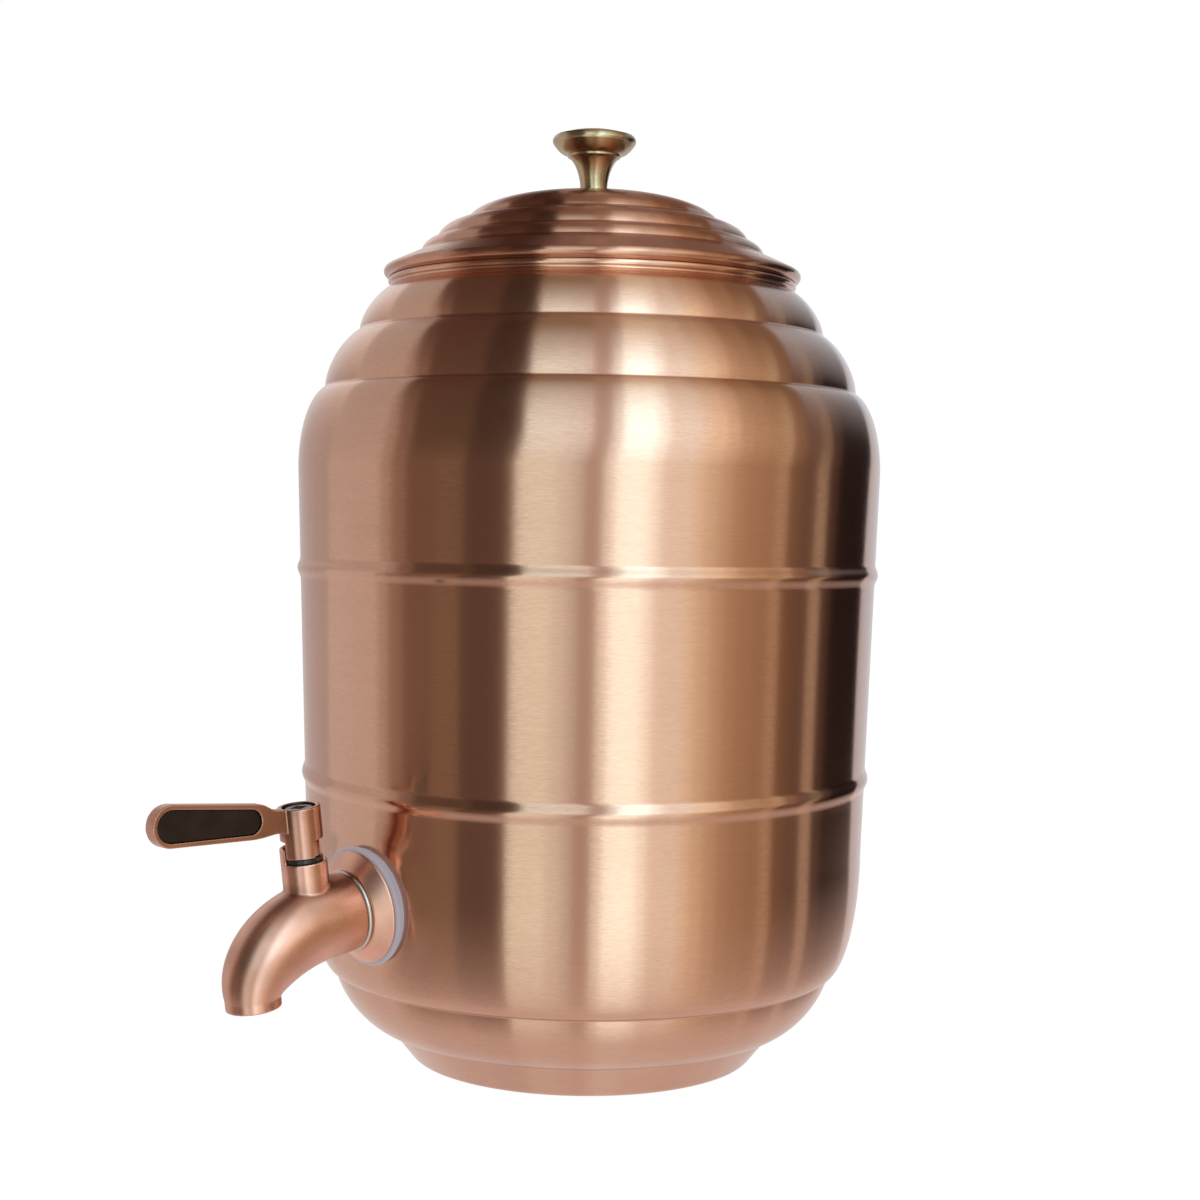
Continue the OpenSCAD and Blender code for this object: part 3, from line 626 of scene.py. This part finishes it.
def pick(piece):
    """Selects one piece alone and makes it the active one."""
    deselect()
    piece.select_set(True)
    bpy.context.view_layer.objects.active = piece


def set_down(piece, place):
    """Puts a piece in its place, with the place in its mesh and its object at the origin."""
    pick(piece)
    piece.matrix_world = place
    bpy.ops.object.transform_apply(location=True, rotation=True, scale=True)
    return piece


def turn(name, outline, place=Matrix.Identity(4), steps=192, sweep=math.tau):
    """A closed outline, turned about the Z axis and then set down."""
    loop = [Vector((p[0], 0, p[1])) * mm for p in outline]
    piece = draw(name, loop + loop[:1])
    edit_all()
    bpy.ops.mesh.spin(steps=steps, angle=-sweep, center=(0, 0, 0), axis=(0, 0, 1))
    finish_edit(len(outline) if sweep < math.tau else None)
    return set_down(piece, place)


def block(inner, outer, start, end):
    return [(inner, start), (outer, start), (outer, end), (inner, end)]


def rod(name, radius, start, end, place=Matrix.Identity(4), steps=96):
    """A plain round bar along the Z axis, to join to a piece or to drill it with."""
    return turn(name, block(0, radius, start, end), place, steps)


# %% Dressing a piece
def smooth(piece, angle=35):
    pick(piece)
    bpy.ops.object.shade_smooth_by_angle(angle=math.radians(angle))


def dress(piece, body, slot, material, *nodes):
    """Gives a finished piece its finish, its body and the solids that it stands for."""
    smooth(piece)
    piece.data.materials.clear()
    piece.data.materials.append(material)
    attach(piece, body)
    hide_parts(*nodes)
    print(piece.name, "has", len(piece.data.polygons), "faces and rides on", body)


# %% [markdown]
# ## The vessel
# The body is one sheet of copper, spun over a former. From the foot it swells in two tiers to the belly,
# runs up past two pressed beads, and closes in three tiers to a neck whose edge is rolled outwards. A
# single outline holds all of that, outside first, then round the rolled rim and back down the inside. The
# lower bead was pressed a little out of level, so its rows are moved afterwards, down in front and up at
# the back.

# %% Sizes of the vessel
wall = 1.0
foot = Vector((59.5, 0))
foot_round = 2.4
base_step = Vector((69, 11.7))
belly_step = Vector((88, 32.5))
belly_top = Vector((98.5, 75))
shoulder = Vector((102.8, 209))
bead_heights = (102.4, 173.5)
bead_h, bead_proud = 8, 1.1
bead_dip, dip_reach = 3.0, 22
seat_rows = (79, 83, 87, 91, 95)
low_notch = Vector((93.8, 236.7))
high_notch = Vector((82, 257))
mouth_r, rim_roll_r, rim_z = 69, 1.6, 274.6
fold, fillet_down, fillet_round = 0.9, 3, 7
inside_top, floor_top = rim_z - 4, 30


def wall_r(z):
    return belly_top.x + (shoulder.x - belly_top.x) * (z - belly_top.y) / (shoulder.y - belly_top.y)


def bead(middle, steps=20):
    points = []
    for i in range(steps + 1):
        u = 2 * i / steps - 1
        z = middle + u * bead_h / 2
        points.append(Vector((wall_r(z) + bead_proud * (1 + math.cos(math.pi * u)) / 2, z)))
    return points


# %% Outline of the vessel
rim = Vector((mouth_r + rim_roll_r, rim_z))
rim_start = -math.degrees(math.acos((wall - rim_roll_r) / rim_roll_r))
rim_path = arc(rim, rim_roll_r, rim_start, 180, 24)
neck = rim_path[0]
foot_in = foot - Vector((foot_round, 0))
foot_out = foot + (base_step - foot).normalized() * foot_round
vessel_path = [Vector((0, 0)), foot_in] + conic(foot_in, foot, foot_out, 0.8, 10) + [base_step]
vessel_path += swell(base_step, belly_step, back=0.2, lift=0.11, weight=0.62, steps=22)
vessel_path += swell(belly_step, belly_top, back=0, lift=0.02, weight=0.67, steps=30)
vessel_path += [Vector((wall_r(z), z)) for z in seat_rows]
for middle in bead_heights:
    vessel_path += bead(middle)
vessel_path += [shoulder]
vessel_path += close_in(shoulder, low_notch, lean=0, drop=0.17, weight=0.8, steps=26)
vessel_path += close_in(low_notch, high_notch, lean=0.04, drop=0.34, weight=0.72, steps=20)
vessel_path += close_in(high_notch, neck, lean=0.04, drop=0.31, weight=0.62, steps=20)
vessel_path = soften(vessel_path, fold)
inside_path = inset(vessel_path, wall)[::-1]
throat = Vector((mouth_r, inside_path[0].y + (inside_path[0].x - mouth_r) / 2))
rim_fillet = conic(vessel_path[-1 - fillet_down], neck, rim_path[fillet_round], 0.8, 10)
outside_path = vessel_path[:-fillet_down] + rim_fillet + rim_path[fillet_round + 1 :]
print("the outline has", len(outside_path + inside_path), "points")

# %% Vessel
vessel = turn("vessel", outside_path + [throat] + inside_path)
for vertex in vessel.data.vertices:
    share = max(1 - abs(vertex.co.z / mm - bead_heights[0]) / dip_reach, 0)
    forward = vertex.co.dot(towards_camera) / vertex.co.xy.length if share else 0
    vertex.co.z -= bead_dip * forward * share * share * (3 - 2 * share) * mm
dress(vessel, "vessel", "vessel_copper", vessel_copper, "body_shell")
vessel.data.materials.append(inside_copper)
for face in vessel.data.polygons:
    out = face.normal.x * face.center.x + face.normal.y * face.center.y
    inner_floor = face.normal.z > 0.5 and face.center.z < floor_top * mm and out < 0.4 * face.center.length
    if face.center.z < inside_top * mm and (out < 0 or inner_floor):
        face.material_index = 1

# %% [markdown]
# ## The lid
# The lid is a second spun sheet, rolled at its edge into a hem, which is drawn down a little in front of
# the vessel's rim and hides the gap there. Its brim slopes up to a notch, and three tiers climb from there
# to the flat that carries the knob.

# %% Outline of the lid
lid_wall, lid_overhang, hem_r, lid_seat_gap = 0.9, 1.6, 1.9, 0.12
brim_w, tier3_w, tier2_w = 13, 5.6, 10.6
brim_rise, tier3_rise, tier2_rise, crown_rise = 7.166, 4.8, 7, 9.9
knob_seat_r, knob_hole_r, lid_fold = 8, 2.7, 1.5
lid_r = mouth_r + 2 * rim_roll_r + lid_overhang
hem_touch = hem_r + rim_roll_r + lid_seat_gap
hem = Vector((lid_r - hem_r, 0))
hem.y = rim_z + math.sqrt(hem_touch**2 - (hem.x - rim.x) ** 2)
notch3 = Vector((lid_r - brim_w, hem.y + brim_rise))
notch2 = notch3 + Vector((-tier3_w, tier3_rise))
notch1 = notch2 + Vector((-tier2_w, tier2_rise))
knob_seat = Vector((knob_seat_r, notch1.y + crown_rise))
brim_run = notch3 - hem
brim_slope = math.acos(hem_r / brim_run.length) - math.atan2(-brim_run.x, brim_run.y)
brim_start = hem + Vector((math.sin(brim_slope), math.cos(brim_slope))) * hem_r
hem_end = 90 - math.degrees(brim_slope)
hem_begin = hem_end + math.degrees(math.acos((hem_r - lid_wall) / hem_r))
lid_path = [brim_start, notch3]
lid_path += close_in(notch3, notch2, lean=0.08, drop=0.22, weight=0.85, steps=16)
lid_path += close_in(notch2, notch1, lean=0.09, drop=0.28, weight=0.95, steps=18)
lid_path += close_in(notch1, knob_seat, lean=0.10, drop=0.04, weight=0.72, steps=30)
lid_path = soften(lid_path, lid_fold)
under = inset(lid_path, lid_wall)[:0:-1]
centre_hole = [Vector((knob_hole_r, knob_seat.y)), Vector((knob_hole_r, knob_seat.y - lid_wall))]
print("the knob's seat is", round(knob_seat.y, 1), "mm up")

# %% Hem and lid
skirt_from, skirt_to, skirt_l, foot_at, foot_gap = -116, -20, 1.3, math.radians(40), 0.15
hem_out = arc(hem, hem_r, skirt_to, hem_end, 14)
hem_foot = rim + Vector((math.cos(foot_at), math.sin(foot_at))) * (rim_roll_r + foot_gap)
skirt_up = Vector((-math.sin(math.radians(skirt_to)), math.cos(math.radians(skirt_to))))
skirt = [hem_foot] + conic(hem_foot, hem_out[0] - skirt_up * skirt_l, hem_out[0], 0.8, 8)
hem_path = arc(hem, hem_r, hem_begin - 360, skirt_from, 16) + skirt + hem_out[1:]

lid = turn("lid", hem_path + lid_path[1:] + centre_hole + under)
dress(lid, "lid", "lid_copper", lid_copper, "lid_shell")

# %% [markdown]
# ## The knob
# The knob is turned from brass: a waist that flares up to a small step, and a broad cap with a rounded edge
# and a low crown. Its small corners are broken, as a turner would leave them.

# %% Knob
knob_h, knob_foot_r, knob_screw_grip = 23.1, 5.2, 11
waist = Vector((4.8, 2.3))
knob_step_r, knob_step_z, knob_step_t, knob_step_out = 9.4, 12.9, 0.8, 0.6
cap_r, edge_t, crown = 14.8, 4, 2.2
edge_from, knob_bore_r, knob_break = -40, 2.55, 0.25
edge = Vector((cap_r - edge_t / 2, knob_h - crown - edge_t / 2))
step_foot = Vector((knob_step_r - knob_step_out, knob_step_z))
step_edge = Vector((knob_step_r, knob_step_z + knob_step_out / 2))
under_cap = step_edge + Vector((0, knob_step_t))
edge_path = arc(edge, edge_t / 2, edge_from, 90, 20)
under_corner = Vector(((under_cap.x + edge_path[0].x) / 2, under_cap.y))
crown_corner = Vector((edge.x / 2, knob_h))
knob_path = [Vector((knob_bore_r, 0)), Vector((knob_foot_r, 0)), waist]
knob_path += conic(waist, Vector((waist.x, (waist.y + 4 * step_foot.y) / 5)), step_foot, 0.6, 24)
knob_path += [step_edge, under_cap] + conic(under_cap, under_corner, edge_path[0], 1, 14) + edge_path[1:]
knob_path += conic(edge_path[-1], crown_corner, Vector((0, knob_h)), 0.8, 16)
knob_bore = [Vector((0, knob_screw_grip)), Vector((knob_bore_r, knob_screw_grip))]

knob_place = Matrix.Translation((0, 0, knob_seat.y * mm))
knob = turn("knob", soften(knob_path, knob_break) + knob_bore, knob_place, steps=128)
dress(knob, "lid", "knob_brass", knob_brass, "lid_knob")

# %% [markdown]
# ## The tap's own axes
# The tap points a little downwards, so it has its own axes: outwards along its barrel, and up along its
# stem. Three matrices hold them: on its seat, along its barrel and on its stem. Every piece of the tap is
# made on plain axes and then set down with one of these.

# %% Axes of the tap
tap_joint = next(joint for joint in frame["joints"] if joint["name"] == "lever_turn")
stem_up = Vector(tap_joint["axis"])
tap_droop = math.atan2(-stem_up.y, stem_up.z)
valve_s = 22.4
tap_turn = Matrix.Rotation(tap_droop, 4, "X")
outwards = Matrix.Rotation(math.pi / 2, 4, "X")
tap_place = Matrix.Translation(tap_joint["pos_m"]) @ tap_turn @ Matrix.Translation((0, valve_s * mm, 0))
along_tap = tap_place @ outwards
stem_foot = Matrix.Translation((0, -valve_s * mm, 0))
at_stem = tap_place @ stem_foot
print("the tap points", round(math.degrees(tap_droop), 2), "degrees down from", tap_place.translation)

# %% [markdown]
# ## Gasket and rose
# A grey silicone gasket lies between the wall and the tap's conical rose. Both are turned, and their edges
# are rounded, because a sharp edge catches no light and looks drawn. The thin round wall is clamped here
# and goes flatter, so its points are moved out towards a plane, and less and less further from the tap.
# Behind its rim the gasket has a boss that reaches back to the wall, and a copy of the vessel's belly is
# taken away from it. The wall is drilled here too, because the tap's shank goes through it.

# %% Sizes of gasket, seat and rose
gasket_r, gasket_back_r, gasket_stand, gasket_t = 19.7, 18.8, 0.6, 1.7
inner_seat, gasket_soft, rose_soft = 4.6, 0.55, 0.35
rose_r, rose_nose_r, rose_t, rose_edge = 18.5, 13.6, 4.9, 0.8
hole_r = 8.2
seat_r, seat_reach, seat_share = 18, 28, 0.55
rose_s = gasket_stand + gasket_t
collar_s = rose_s + rose_t
print("the rose ends", round(collar_s, 2), "mm in front of the wall")


# %% Rounding, cutting and seating
def rounded(points, reach):
    """A closed outline with every sharp corner rounded."""
    loop = [Vector(p) for p in points]
    return soften([loop[-1]] + loop + [loop[0]], reach)[1:-1]


def modify(piece, kind, **settings):
    """Adds a modifier to a piece, sets it and applies it."""
    bpy.context.view_layer.objects.active = piece
    added = piece.modifiers.new(kind.lower(), kind)
    for name, value in settings.items():
        setattr(added, name, value)
    bpy.ops.object.modifier_apply(modifier=added.name)


def carve(piece, operation, *tools):
    """Joins other closed meshes to a piece, or cuts them out of it, and deletes them."""
    for tool in tools:
        modify(piece, "BOOLEAN", operation=operation, solver="EXACT", object=tool)
        bpy.data.objects.remove(tool)
    return piece


def flatten_seat(piece):
    """Pulls the round wall out to a flat place under the gasket, which fades into it all round."""
    out = along_tap.to_3x3() @ Vector((0, 0, 1))
    to_tap = along_tap.inverted()
    for vertex in piece.data.vertices:
        x, y, s = to_tap @ vertex.co / mm
        fade = min(max((seat_reach - math.hypot(x, y)) / (seat_reach - seat_r), 0), 1)
        if s > -inner_seat * 4 and vertex.normal.dot(out) > 0:
            vertex.co -= out * min(s, 0) * seat_share * fade * fade * (3 - 2 * fade) * mm


# %% Gasket and rose
gasket_rim = [(gasket_back_r, gasket_stand), (gasket_r, gasket_stand), (gasket_r, rose_s), (hole_r, rose_s)]
gasket_boss = [(hole_r, -inner_seat), (gasket_back_r, -inner_seat)]
gasket = turn("gasket", rounded(gasket_boss + gasket_rim, gasket_soft), along_tap, steps=128)
belly = turn("belly_tool", vessel_path + [Vector((0, vessel_path[-1].y))])
flatten_seat(belly)
carve(gasket, "DIFFERENCE", belly)
dress(gasket, "vessel", "grey_silicone", grey_silicone, "outer_gasket")
flatten_seat(vessel)
carve(vessel, "DIFFERENCE", rod("wall_drill", hole_r, -2 * inner_seat, rose_s, along_tap))
smooth(vessel)

rose_cone = [(rose_r, rose_s), (rose_r, rose_s + rose_edge), (rose_nose_r, collar_s)]
rose_outline = [(hole_r, rose_s)] + rose_cone + [(hole_r, collar_s)]
rose = turn("rose", rounded(rose_outline, rose_soft), along_tap, steps=128)
dress(rose, "vessel", "tap_copper", rose_copper_painted_lighter, "tap_rose")

# %% [markdown]
# ## The threaded shank
# One steel tube holds the tap: a bright collar outside, and a thread inside for the back nut. A thread is a
# small ridge that climbs as it goes round, and the Screw modifier does just that with a triangle.

# %% Shank and its thread
collar_r, collar_t = 13.3, 1.4
shank_r, way_r = 8, 5
shank_s, spigot_l = -17.1, 6
thread_pitch, thread_depth, thread_from, thread_l = 1.5, 0.7, 1.2, 13.5
ridge_sunk, ridge_half, relief_from, relief_to = 0.2, 0.42, 4, 3.3
spout_s = collar_s + collar_t
core_r = shank_r - thread_depth
shank_tube = [(way_r, shank_s), (core_r, shank_s), (core_r, collar_s - relief_from)]
shank_tube += [(shank_r, collar_s - relief_to), (shank_r, collar_s)]
ring_round = collar_t / 2
ring_middle = Vector((collar_r - ring_round, collar_s + ring_round))
shank_collar = arc(ring_middle, ring_round, -90, 90, 12) + [(shank_r, spout_s)]
shank_end = [(shank_r, spout_s + spigot_l), (way_r, spout_s + spigot_l)]
shank = turn("shank", rounded(shank_tube + shank_collar + shank_end, 0.25), along_tap, steps=96)
ridge_low, ridge_rise = core_r - ridge_sunk, ridge_half * thread_pitch
ridge_corners = [(ridge_low, -ridge_rise), (shank_r, 0), (ridge_low, ridge_rise)]
loop = [Vector((r, 0, shank_s + thread_from + z)) * mm for r, z in ridge_corners]
ridge = draw("ridge", loop + loop[:1])
turns = int(thread_l / thread_pitch)
modify(ridge, "SCREW", screw_offset=thread_pitch * mm, iterations=turns, steps=48, render_steps=48)
edit_all()
finish_edit(len(ridge_corners))
set_down(ridge, along_tap)
pick(shank)
ridge.select_set(True)
bpy.ops.object.join()
dress(shank, "vessel", "bright_steel", bright_steel, "tap_shank")

# %% [markdown]
# ## The spout
# The spout is a casting: a barrel that bends down in an elbow and narrows to the outlet, with a collar for
# the valve's stem on top. It starts as a round face that is pulled along its path, turned and scaled at
# every step. Where two cast shapes meet there is always a fillet. So the shapes are joined, remeshed into
# small even faces, and relaxed, which melts their corners together. The chamber of the valve and the water
# way, which bends down as the spout does, are drilled before that.

# %% Path of the elbow
root_r, swell_r, outlet_r, bore_r, bore_l = 12.8, 14.1, 8.8, 7, 10
barrel_l, elbow_reach, elbow_drop, outlet_neck = 8.4, 29.6, 18.2, 3
stem_collar_r, stem_collar_h, chamber_r, chamber_depth = 7.4, 20.2, 6, 8
stop_inner_r, stop_h, stop_sunk = 6.25, 4.8, 0.5
barrel_steps, bend_steps, neck_steps, way_steps, ring_points = 5, 30, 3, 16, 72
drill_past, chamber_past, outlet_past = 1, 10, 2


def elbow_stations():
    """Centre, angle below level and radius of each ring, along the tap's own axes."""
    spots = [(spout_s + barrel_l * i / barrel_steps, 0, 0) for i in range(barrel_steps + 1)]
    bend_start = spots[-1][0]
    for i in range(1, bend_steps + 1):
        a = math.pi / 2 * i / bend_steps
        down = math.atan2(elbow_drop * math.sin(a), elbow_reach * math.cos(a))
        out = bend_start + elbow_reach * math.sin(a)
        spots.append((out, -elbow_drop * (1 - math.cos(a)), down))
    out, up, down = spots[-1]
    spots += [(out, up - outlet_neck * i / neck_steps, down) for i in range(1, neck_steps + 1)]
    stations = []
    for i, (out, up, down) in enumerate(spots):
        u = min(i / (barrel_steps + bend_steps), 1)
        radius = (1 - u) ** 2 * root_r + 2 * u * (1 - u) * swell_r + u * u * outlet_r
        stations.append((Vector((0, -out, up)) * mm, down, radius * mm))
    return stations


stations = elbow_stations()
print("the elbow has", len(stations), "rings")


# %% Pulling and melting
def pull_along(name, stations):
    """A round face, pulled from station to station, turned and scaled about each centre."""
    centre, down, radius = stations[0]
    deselect()
    bpy.ops.mesh.primitive_circle_add(
        vertices=ring_points, radius=radius, fill_type="NGON", location=centre, rotation=(math.pi / 2, 0, 0)
    )
    piece = bpy.context.object
    piece.name = name
    bpy.ops.object.transform_apply(location=True, rotation=True, scale=True)
    edit_all()
    for here, there in zip(stations, stations[1:]):
        bpy.ops.mesh.extrude_region_move(TRANSFORM_OT_translate={"value": there[0] - here[0]})
        bpy.ops.transform.rotate(value=here[1] - there[1], orient_axis="X", center_override=there[0])
        bpy.ops.transform.resize(value=[there[2] / here[2]] * 3, center_override=there[0])
    finish_edit(ring_points)
    return piece


def melt(piece, voxel, rounds):
    """Remeshes a joined shape into small even faces and relaxes them, so that its corners get fillets."""
    modify(piece, "REMESH", mode="VOXEL", voxel_size=voxel * mm)
    modify(piece, "SMOOTH", factor=0.5, iterations=rounds)
    return piece


# %% Spout
outlet_s, outlet_z = -stations[-1][0].y / mm, stations[-1][0].z / mm
way_bend_r = -outlet_z - bore_l / 2
spout = pull_along("spout", stations)
outlet = Matrix.Translation((0, -outlet_s * mm, outlet_z * mm))
stem_collar = rod("stem_collar", stem_collar_r, 0, stem_collar_h, stem_foot)
stop_outline = block(stop_inner_r, stem_collar_r, stem_collar_h - stop_sunk, stem_collar_h + stop_h)
stop_turn = stem_foot @ Matrix.Rotation(math.pi / 2, 4, "Z")
stop = turn("stop", stop_outline, stop_turn, 48, math.pi)
carve(spout, "UNION", stem_collar, stop)
way = [(Vector((0, drill_past - spout_s, 0)) * mm, 0, way_r * mm)]
for i in range(way_steps + 1):
    down = math.pi / 2 * i / way_steps
    y, z = way_bend_r * (1 - math.sin(down)) - outlet_s, way_bend_r * (math.cos(down) - 1)
    way.append((Vector((0, y, z)) * mm, down, way_r * mm))
shank_drill = rod("shank_drill", shank_r, spout_s - drill_past, spout_s + spigot_l, outwards)
chamber = rod("chamber", chamber_r, -chamber_depth, stem_collar_h + chamber_past, stem_foot)
bore = rod("bore", bore_r, -outlet_past, bore_l, outlet)
carve(spout, "DIFFERENCE", shank_drill, pull_along("way", way), bore, chamber)
set_down(melt(spout, voxel=0.33, rounds=8), tap_place)
dress(spout, "vessel", "tap_copper", tap_copper, "spout_body")

# %% [markdown]
# ## The stem's bush
# A glossy black ring shows between the spout's collar and the lever's hub. It is the flange of a bush that
# is pressed into the collar, turned here with soft edges.

# %% Bush
stem_r, bush_l, bush_flange_t, bush_flange_r, bush_fit = 4.05, 4.6, 1.45, 6.1, 0.05
bush_r = chamber_r - bush_fit
bush_foot = stem_collar_h - bush_l
bush_top = stem_collar_h + bush_flange_t
bush_outline = [(stem_r, bush_foot), (bush_r, bush_foot), (bush_r, stem_collar_h)]
bush_outline += [(bush_flange_r, stem_collar_h), (bush_flange_r, bush_top), (stem_r, bush_top)]
bush = turn("bush", rounded(bush_outline, 0.3), at_stem, 96)
dress(bush, "vessel", "black_bush", black_bush, "stem_bush")

# %% [markdown]
# ## The lever
# The lever is one casting too: a hub that fits on the stem, with a tab that meets the stop, and a flat
# paddle with a long recess in its side. The paddle's outline is drawn, filled and pulled to its thickness.
# The hub is turned. Both are joined, the recess and the counterbore are cut, and the whole is melted as the
# spout was.

# %% Outlines of the lever
hub_r, hub_h, hub_core_r, tab_h, stop_gap = 6.85, 16.3, 5.4, 5.6, 0.15
counterbore_r, counterbore_l, hub_web, screw_hole_r = 5.3, 4.5, 2.4, 2.2
lever_rise, lever_h, lever_l, lever_t = math.radians(10.5), 11.5, 55, 4.5
paddle_tip_r, paddle_root_r, heel_r, neck_r = 6.6, 5.8, 5.2, 3.7
paddle_root_l, neck_l = 17, 10
inlay_border, recess_back, recess_d, inlay_gap, inlay_sunk = 1.5, 1, 1.2, 0.05, 0.6
tab_from, tab_sweep, tab_sunk, tab_lap, hub_clear = -87, 84, 1, 0.5, 1.5
flare_steps, heel_fold, heel_sharp = 16, 2.5, 8
cut_past, recess_past, shade_out, shade_down = 2, 1, 0.15, 0.4
hub_foot = stem_collar_h + hub_clear
hub_head = hub_foot + tab_h
hub_top = hub_foot + hub_h
web_top = hub_top - counterbore_l
tip = Vector((lever_l - paddle_tip_r, 0))


def paddle_outline():
    rise = paddle_root_r - neck_r
    points = [Vector((0, -neck_r)), Vector((0, neck_r))]
    for i in range(flare_steps + 1):
        t = i / flare_steps
        x = neck_l + (paddle_root_l - neck_l) * t
        points.append(Vector((x, neck_r + rise * (1 - math.cos(math.pi * t)) / 2)))
    points += arc(tip, paddle_tip_r, 90, -90, 32)
    heel = [Vector((paddle_root_l, -heel_r)), Vector((neck_l, -neck_r))]
    return soften(points + heel, heel_fold, heel_sharp)


def recess_outline(gap):
    root_fit = (paddle_root_r + heel_r) / 2 - inlay_border
    root = Vector((paddle_root_l - recess_back + root_fit, (paddle_root_r - heel_r) / 2))
    outer = arc(tip, paddle_tip_r - inlay_border - gap, 90, -90, 28)
    return outer + arc(root, root_fit - gap, -90, -270, 28)


def plate(name, outline, start, end):
    """A flat outline, filled and pulled to a thickness, which is measured from the lever's front face."""
    loop = [Vector((p.x, p.y, start - lever_t / 2)) * mm for p in outline]
    piece = draw(name, loop + loop[:1])
    edit_all()
    bpy.ops.mesh.edge_face_add()
    bpy.ops.mesh.extrude_region_move(TRANSFORM_OT_translate={"value": (0, 0, (end - start) * mm)})
    finish_edit(0)
    return piece


print("the paddle's outline has", len(paddle_outline()), "points")

# %% Lever
beside = Matrix.Rotation(-math.pi / 2, 4, "Z") @ Matrix.Rotation(math.pi / 2, 4, "X")
lift = Matrix.Translation((0, 0, (hub_foot + lever_h) * mm))
paddle_place = lift @ Matrix.Rotation(-lever_rise, 4, "X") @ beside
hub_outline = [(0, hub_foot), (hub_core_r, hub_foot), (hub_core_r, hub_head)]
hub_outline += [(hub_r, hub_head), (hub_r, hub_top), (0, hub_top)]
lever = turn("lever_casting", hub_outline, steps=96)
tab_outline = block(hub_core_r - tab_sunk, hub_r, hub_foot + stop_gap, hub_head + tab_lap)
tab_turn = Matrix.Rotation(math.radians(tab_from), 4, "Z")
tab = turn("tab", tab_outline, tab_turn, 32, math.radians(tab_sweep))
paddle = set_down(plate("paddle", paddle_outline(), 0, lever_t), paddle_place)
carve(lever, "UNION", tab, paddle)
recess = set_down(plate("recess", recess_outline(0), -recess_past, recess_d), paddle_place)
counterbore = rod("counterbore", counterbore_r, web_top, hub_top + cut_past)
socket = rod("socket", stem_r, hub_foot - cut_past, web_top - hub_web)
screw_hole = rod("screw_hole", screw_hole_r, hub_foot, hub_top)
carve(lever, "DIFFERENCE", recess, counterbore, socket, screw_hole)
set_down(melt(lever, voxel=0.22, rounds=7), at_stem)
dress(lever, "tap_lever", "tap_copper", lever_copper_aged_and_shaded, "lever")
# The counterbore's faces take the nearly black copper as painted shade, because its deep hole lies in shade.
lever.data.materials.append(painted_shade_recess)
from_stem = at_stem.inverted()
for face in lever.data.polygons:
    spot = from_stem @ face.center / mm
    if math.hypot(spot.x, spot.y) < counterbore_r + shade_out and spot.z > web_top - shade_down:
        face.material_index = 1

# %% [markdown]
# ## The inlay
# The recess holds a thin black strip, a little below the rim of the recess. It is the recess's own outline,
# made smaller by a hair, and its upper edge is broken with a bevel.

# %% Inlay
inlay = plate("inlay", recess_outline(inlay_gap), inlay_sunk, recess_d - inlay_gap)
modify(inlay, "BEVEL", width=0.35 * mm, segments=4, angle_limit=math.radians(60))
set_down(inlay, at_stem @ paddle_place)
dress(inlay, "tap_lever", "black_enamel", black_enamel, "lever_inlay")

# %% [markdown]
# ## The hub's screw
# The screw that holds the lever on its stem lies almost level with the hub's top, and its head fills the
# counterbore. The head is turned, and a cross is cut into it with two square bars that are squeezed flat.

# %% Hub screw
screw_r, screw_head_r, screw_grip, screw_sunk, washer_t = 2, 4.6, 9.75, 0.55, 0.8
cross_half_l, cross_half_w, cross_d, cross_turn, head_soft = 2.7, 0.6, 1.3, 25, 0.6
head_foot = web_top + washer_t
head_top = hub_top - screw_sunk
screw_corners = [(0, head_foot - screw_grip), (screw_r, head_foot - screw_grip), (screw_r, head_foot)]
screw_corners += [(screw_head_r, head_foot), (screw_head_r, head_top), (0, head_top)]
hub_screw = turn("hub_screw", soften([Vector(p) for p in screw_corners], head_soft), steps=64)
square = Matrix.Diagonal((cross_half_w / cross_half_l, 1, 1, 1)) @ Matrix.Rotation(math.pi / 4, 4, "Z")
for angle in (cross_turn, cross_turn + 90):
    bar_place = Matrix.Rotation(math.radians(angle), 4, "Z") @ square
    bar = rod("bar", cross_half_l * math.sqrt(2), head_top - cross_d, head_top + 1, bar_place, 4)
    carve(hub_screw, "DIFFERENCE", bar)
set_down(hub_screw, at_stem)
dress(hub_screw, "tap_lever", "dark_steel", dark_steel, "lever_screw")

# %% [markdown]
# ## The solids that stay
# The rest of the pieces are right as they are: washers, the nut, the plug and its rings. They keep their
# meshes and get their finishes.

# %% Finishes of the other solids
finishes = {
    "lid_copper": lid_copper,
    "bright_steel": bright_steel,
    "dark_steel": dark_steel,
    "grey_silicone": grey_silicone,
    "valve_brass": valve_brass,
    "black_rubber": black_rubber,
}
slots = {row["node"]: row["material_slot"] for row in frame["record"]["subparts"]}
for name, solid in frame["nodes"].items():
    if solid.hide_render:
        continue
    solid.data.materials.clear()
    solid.data.materials.append(finishes[slots[name]])
    print(name, "takes", slots[name])
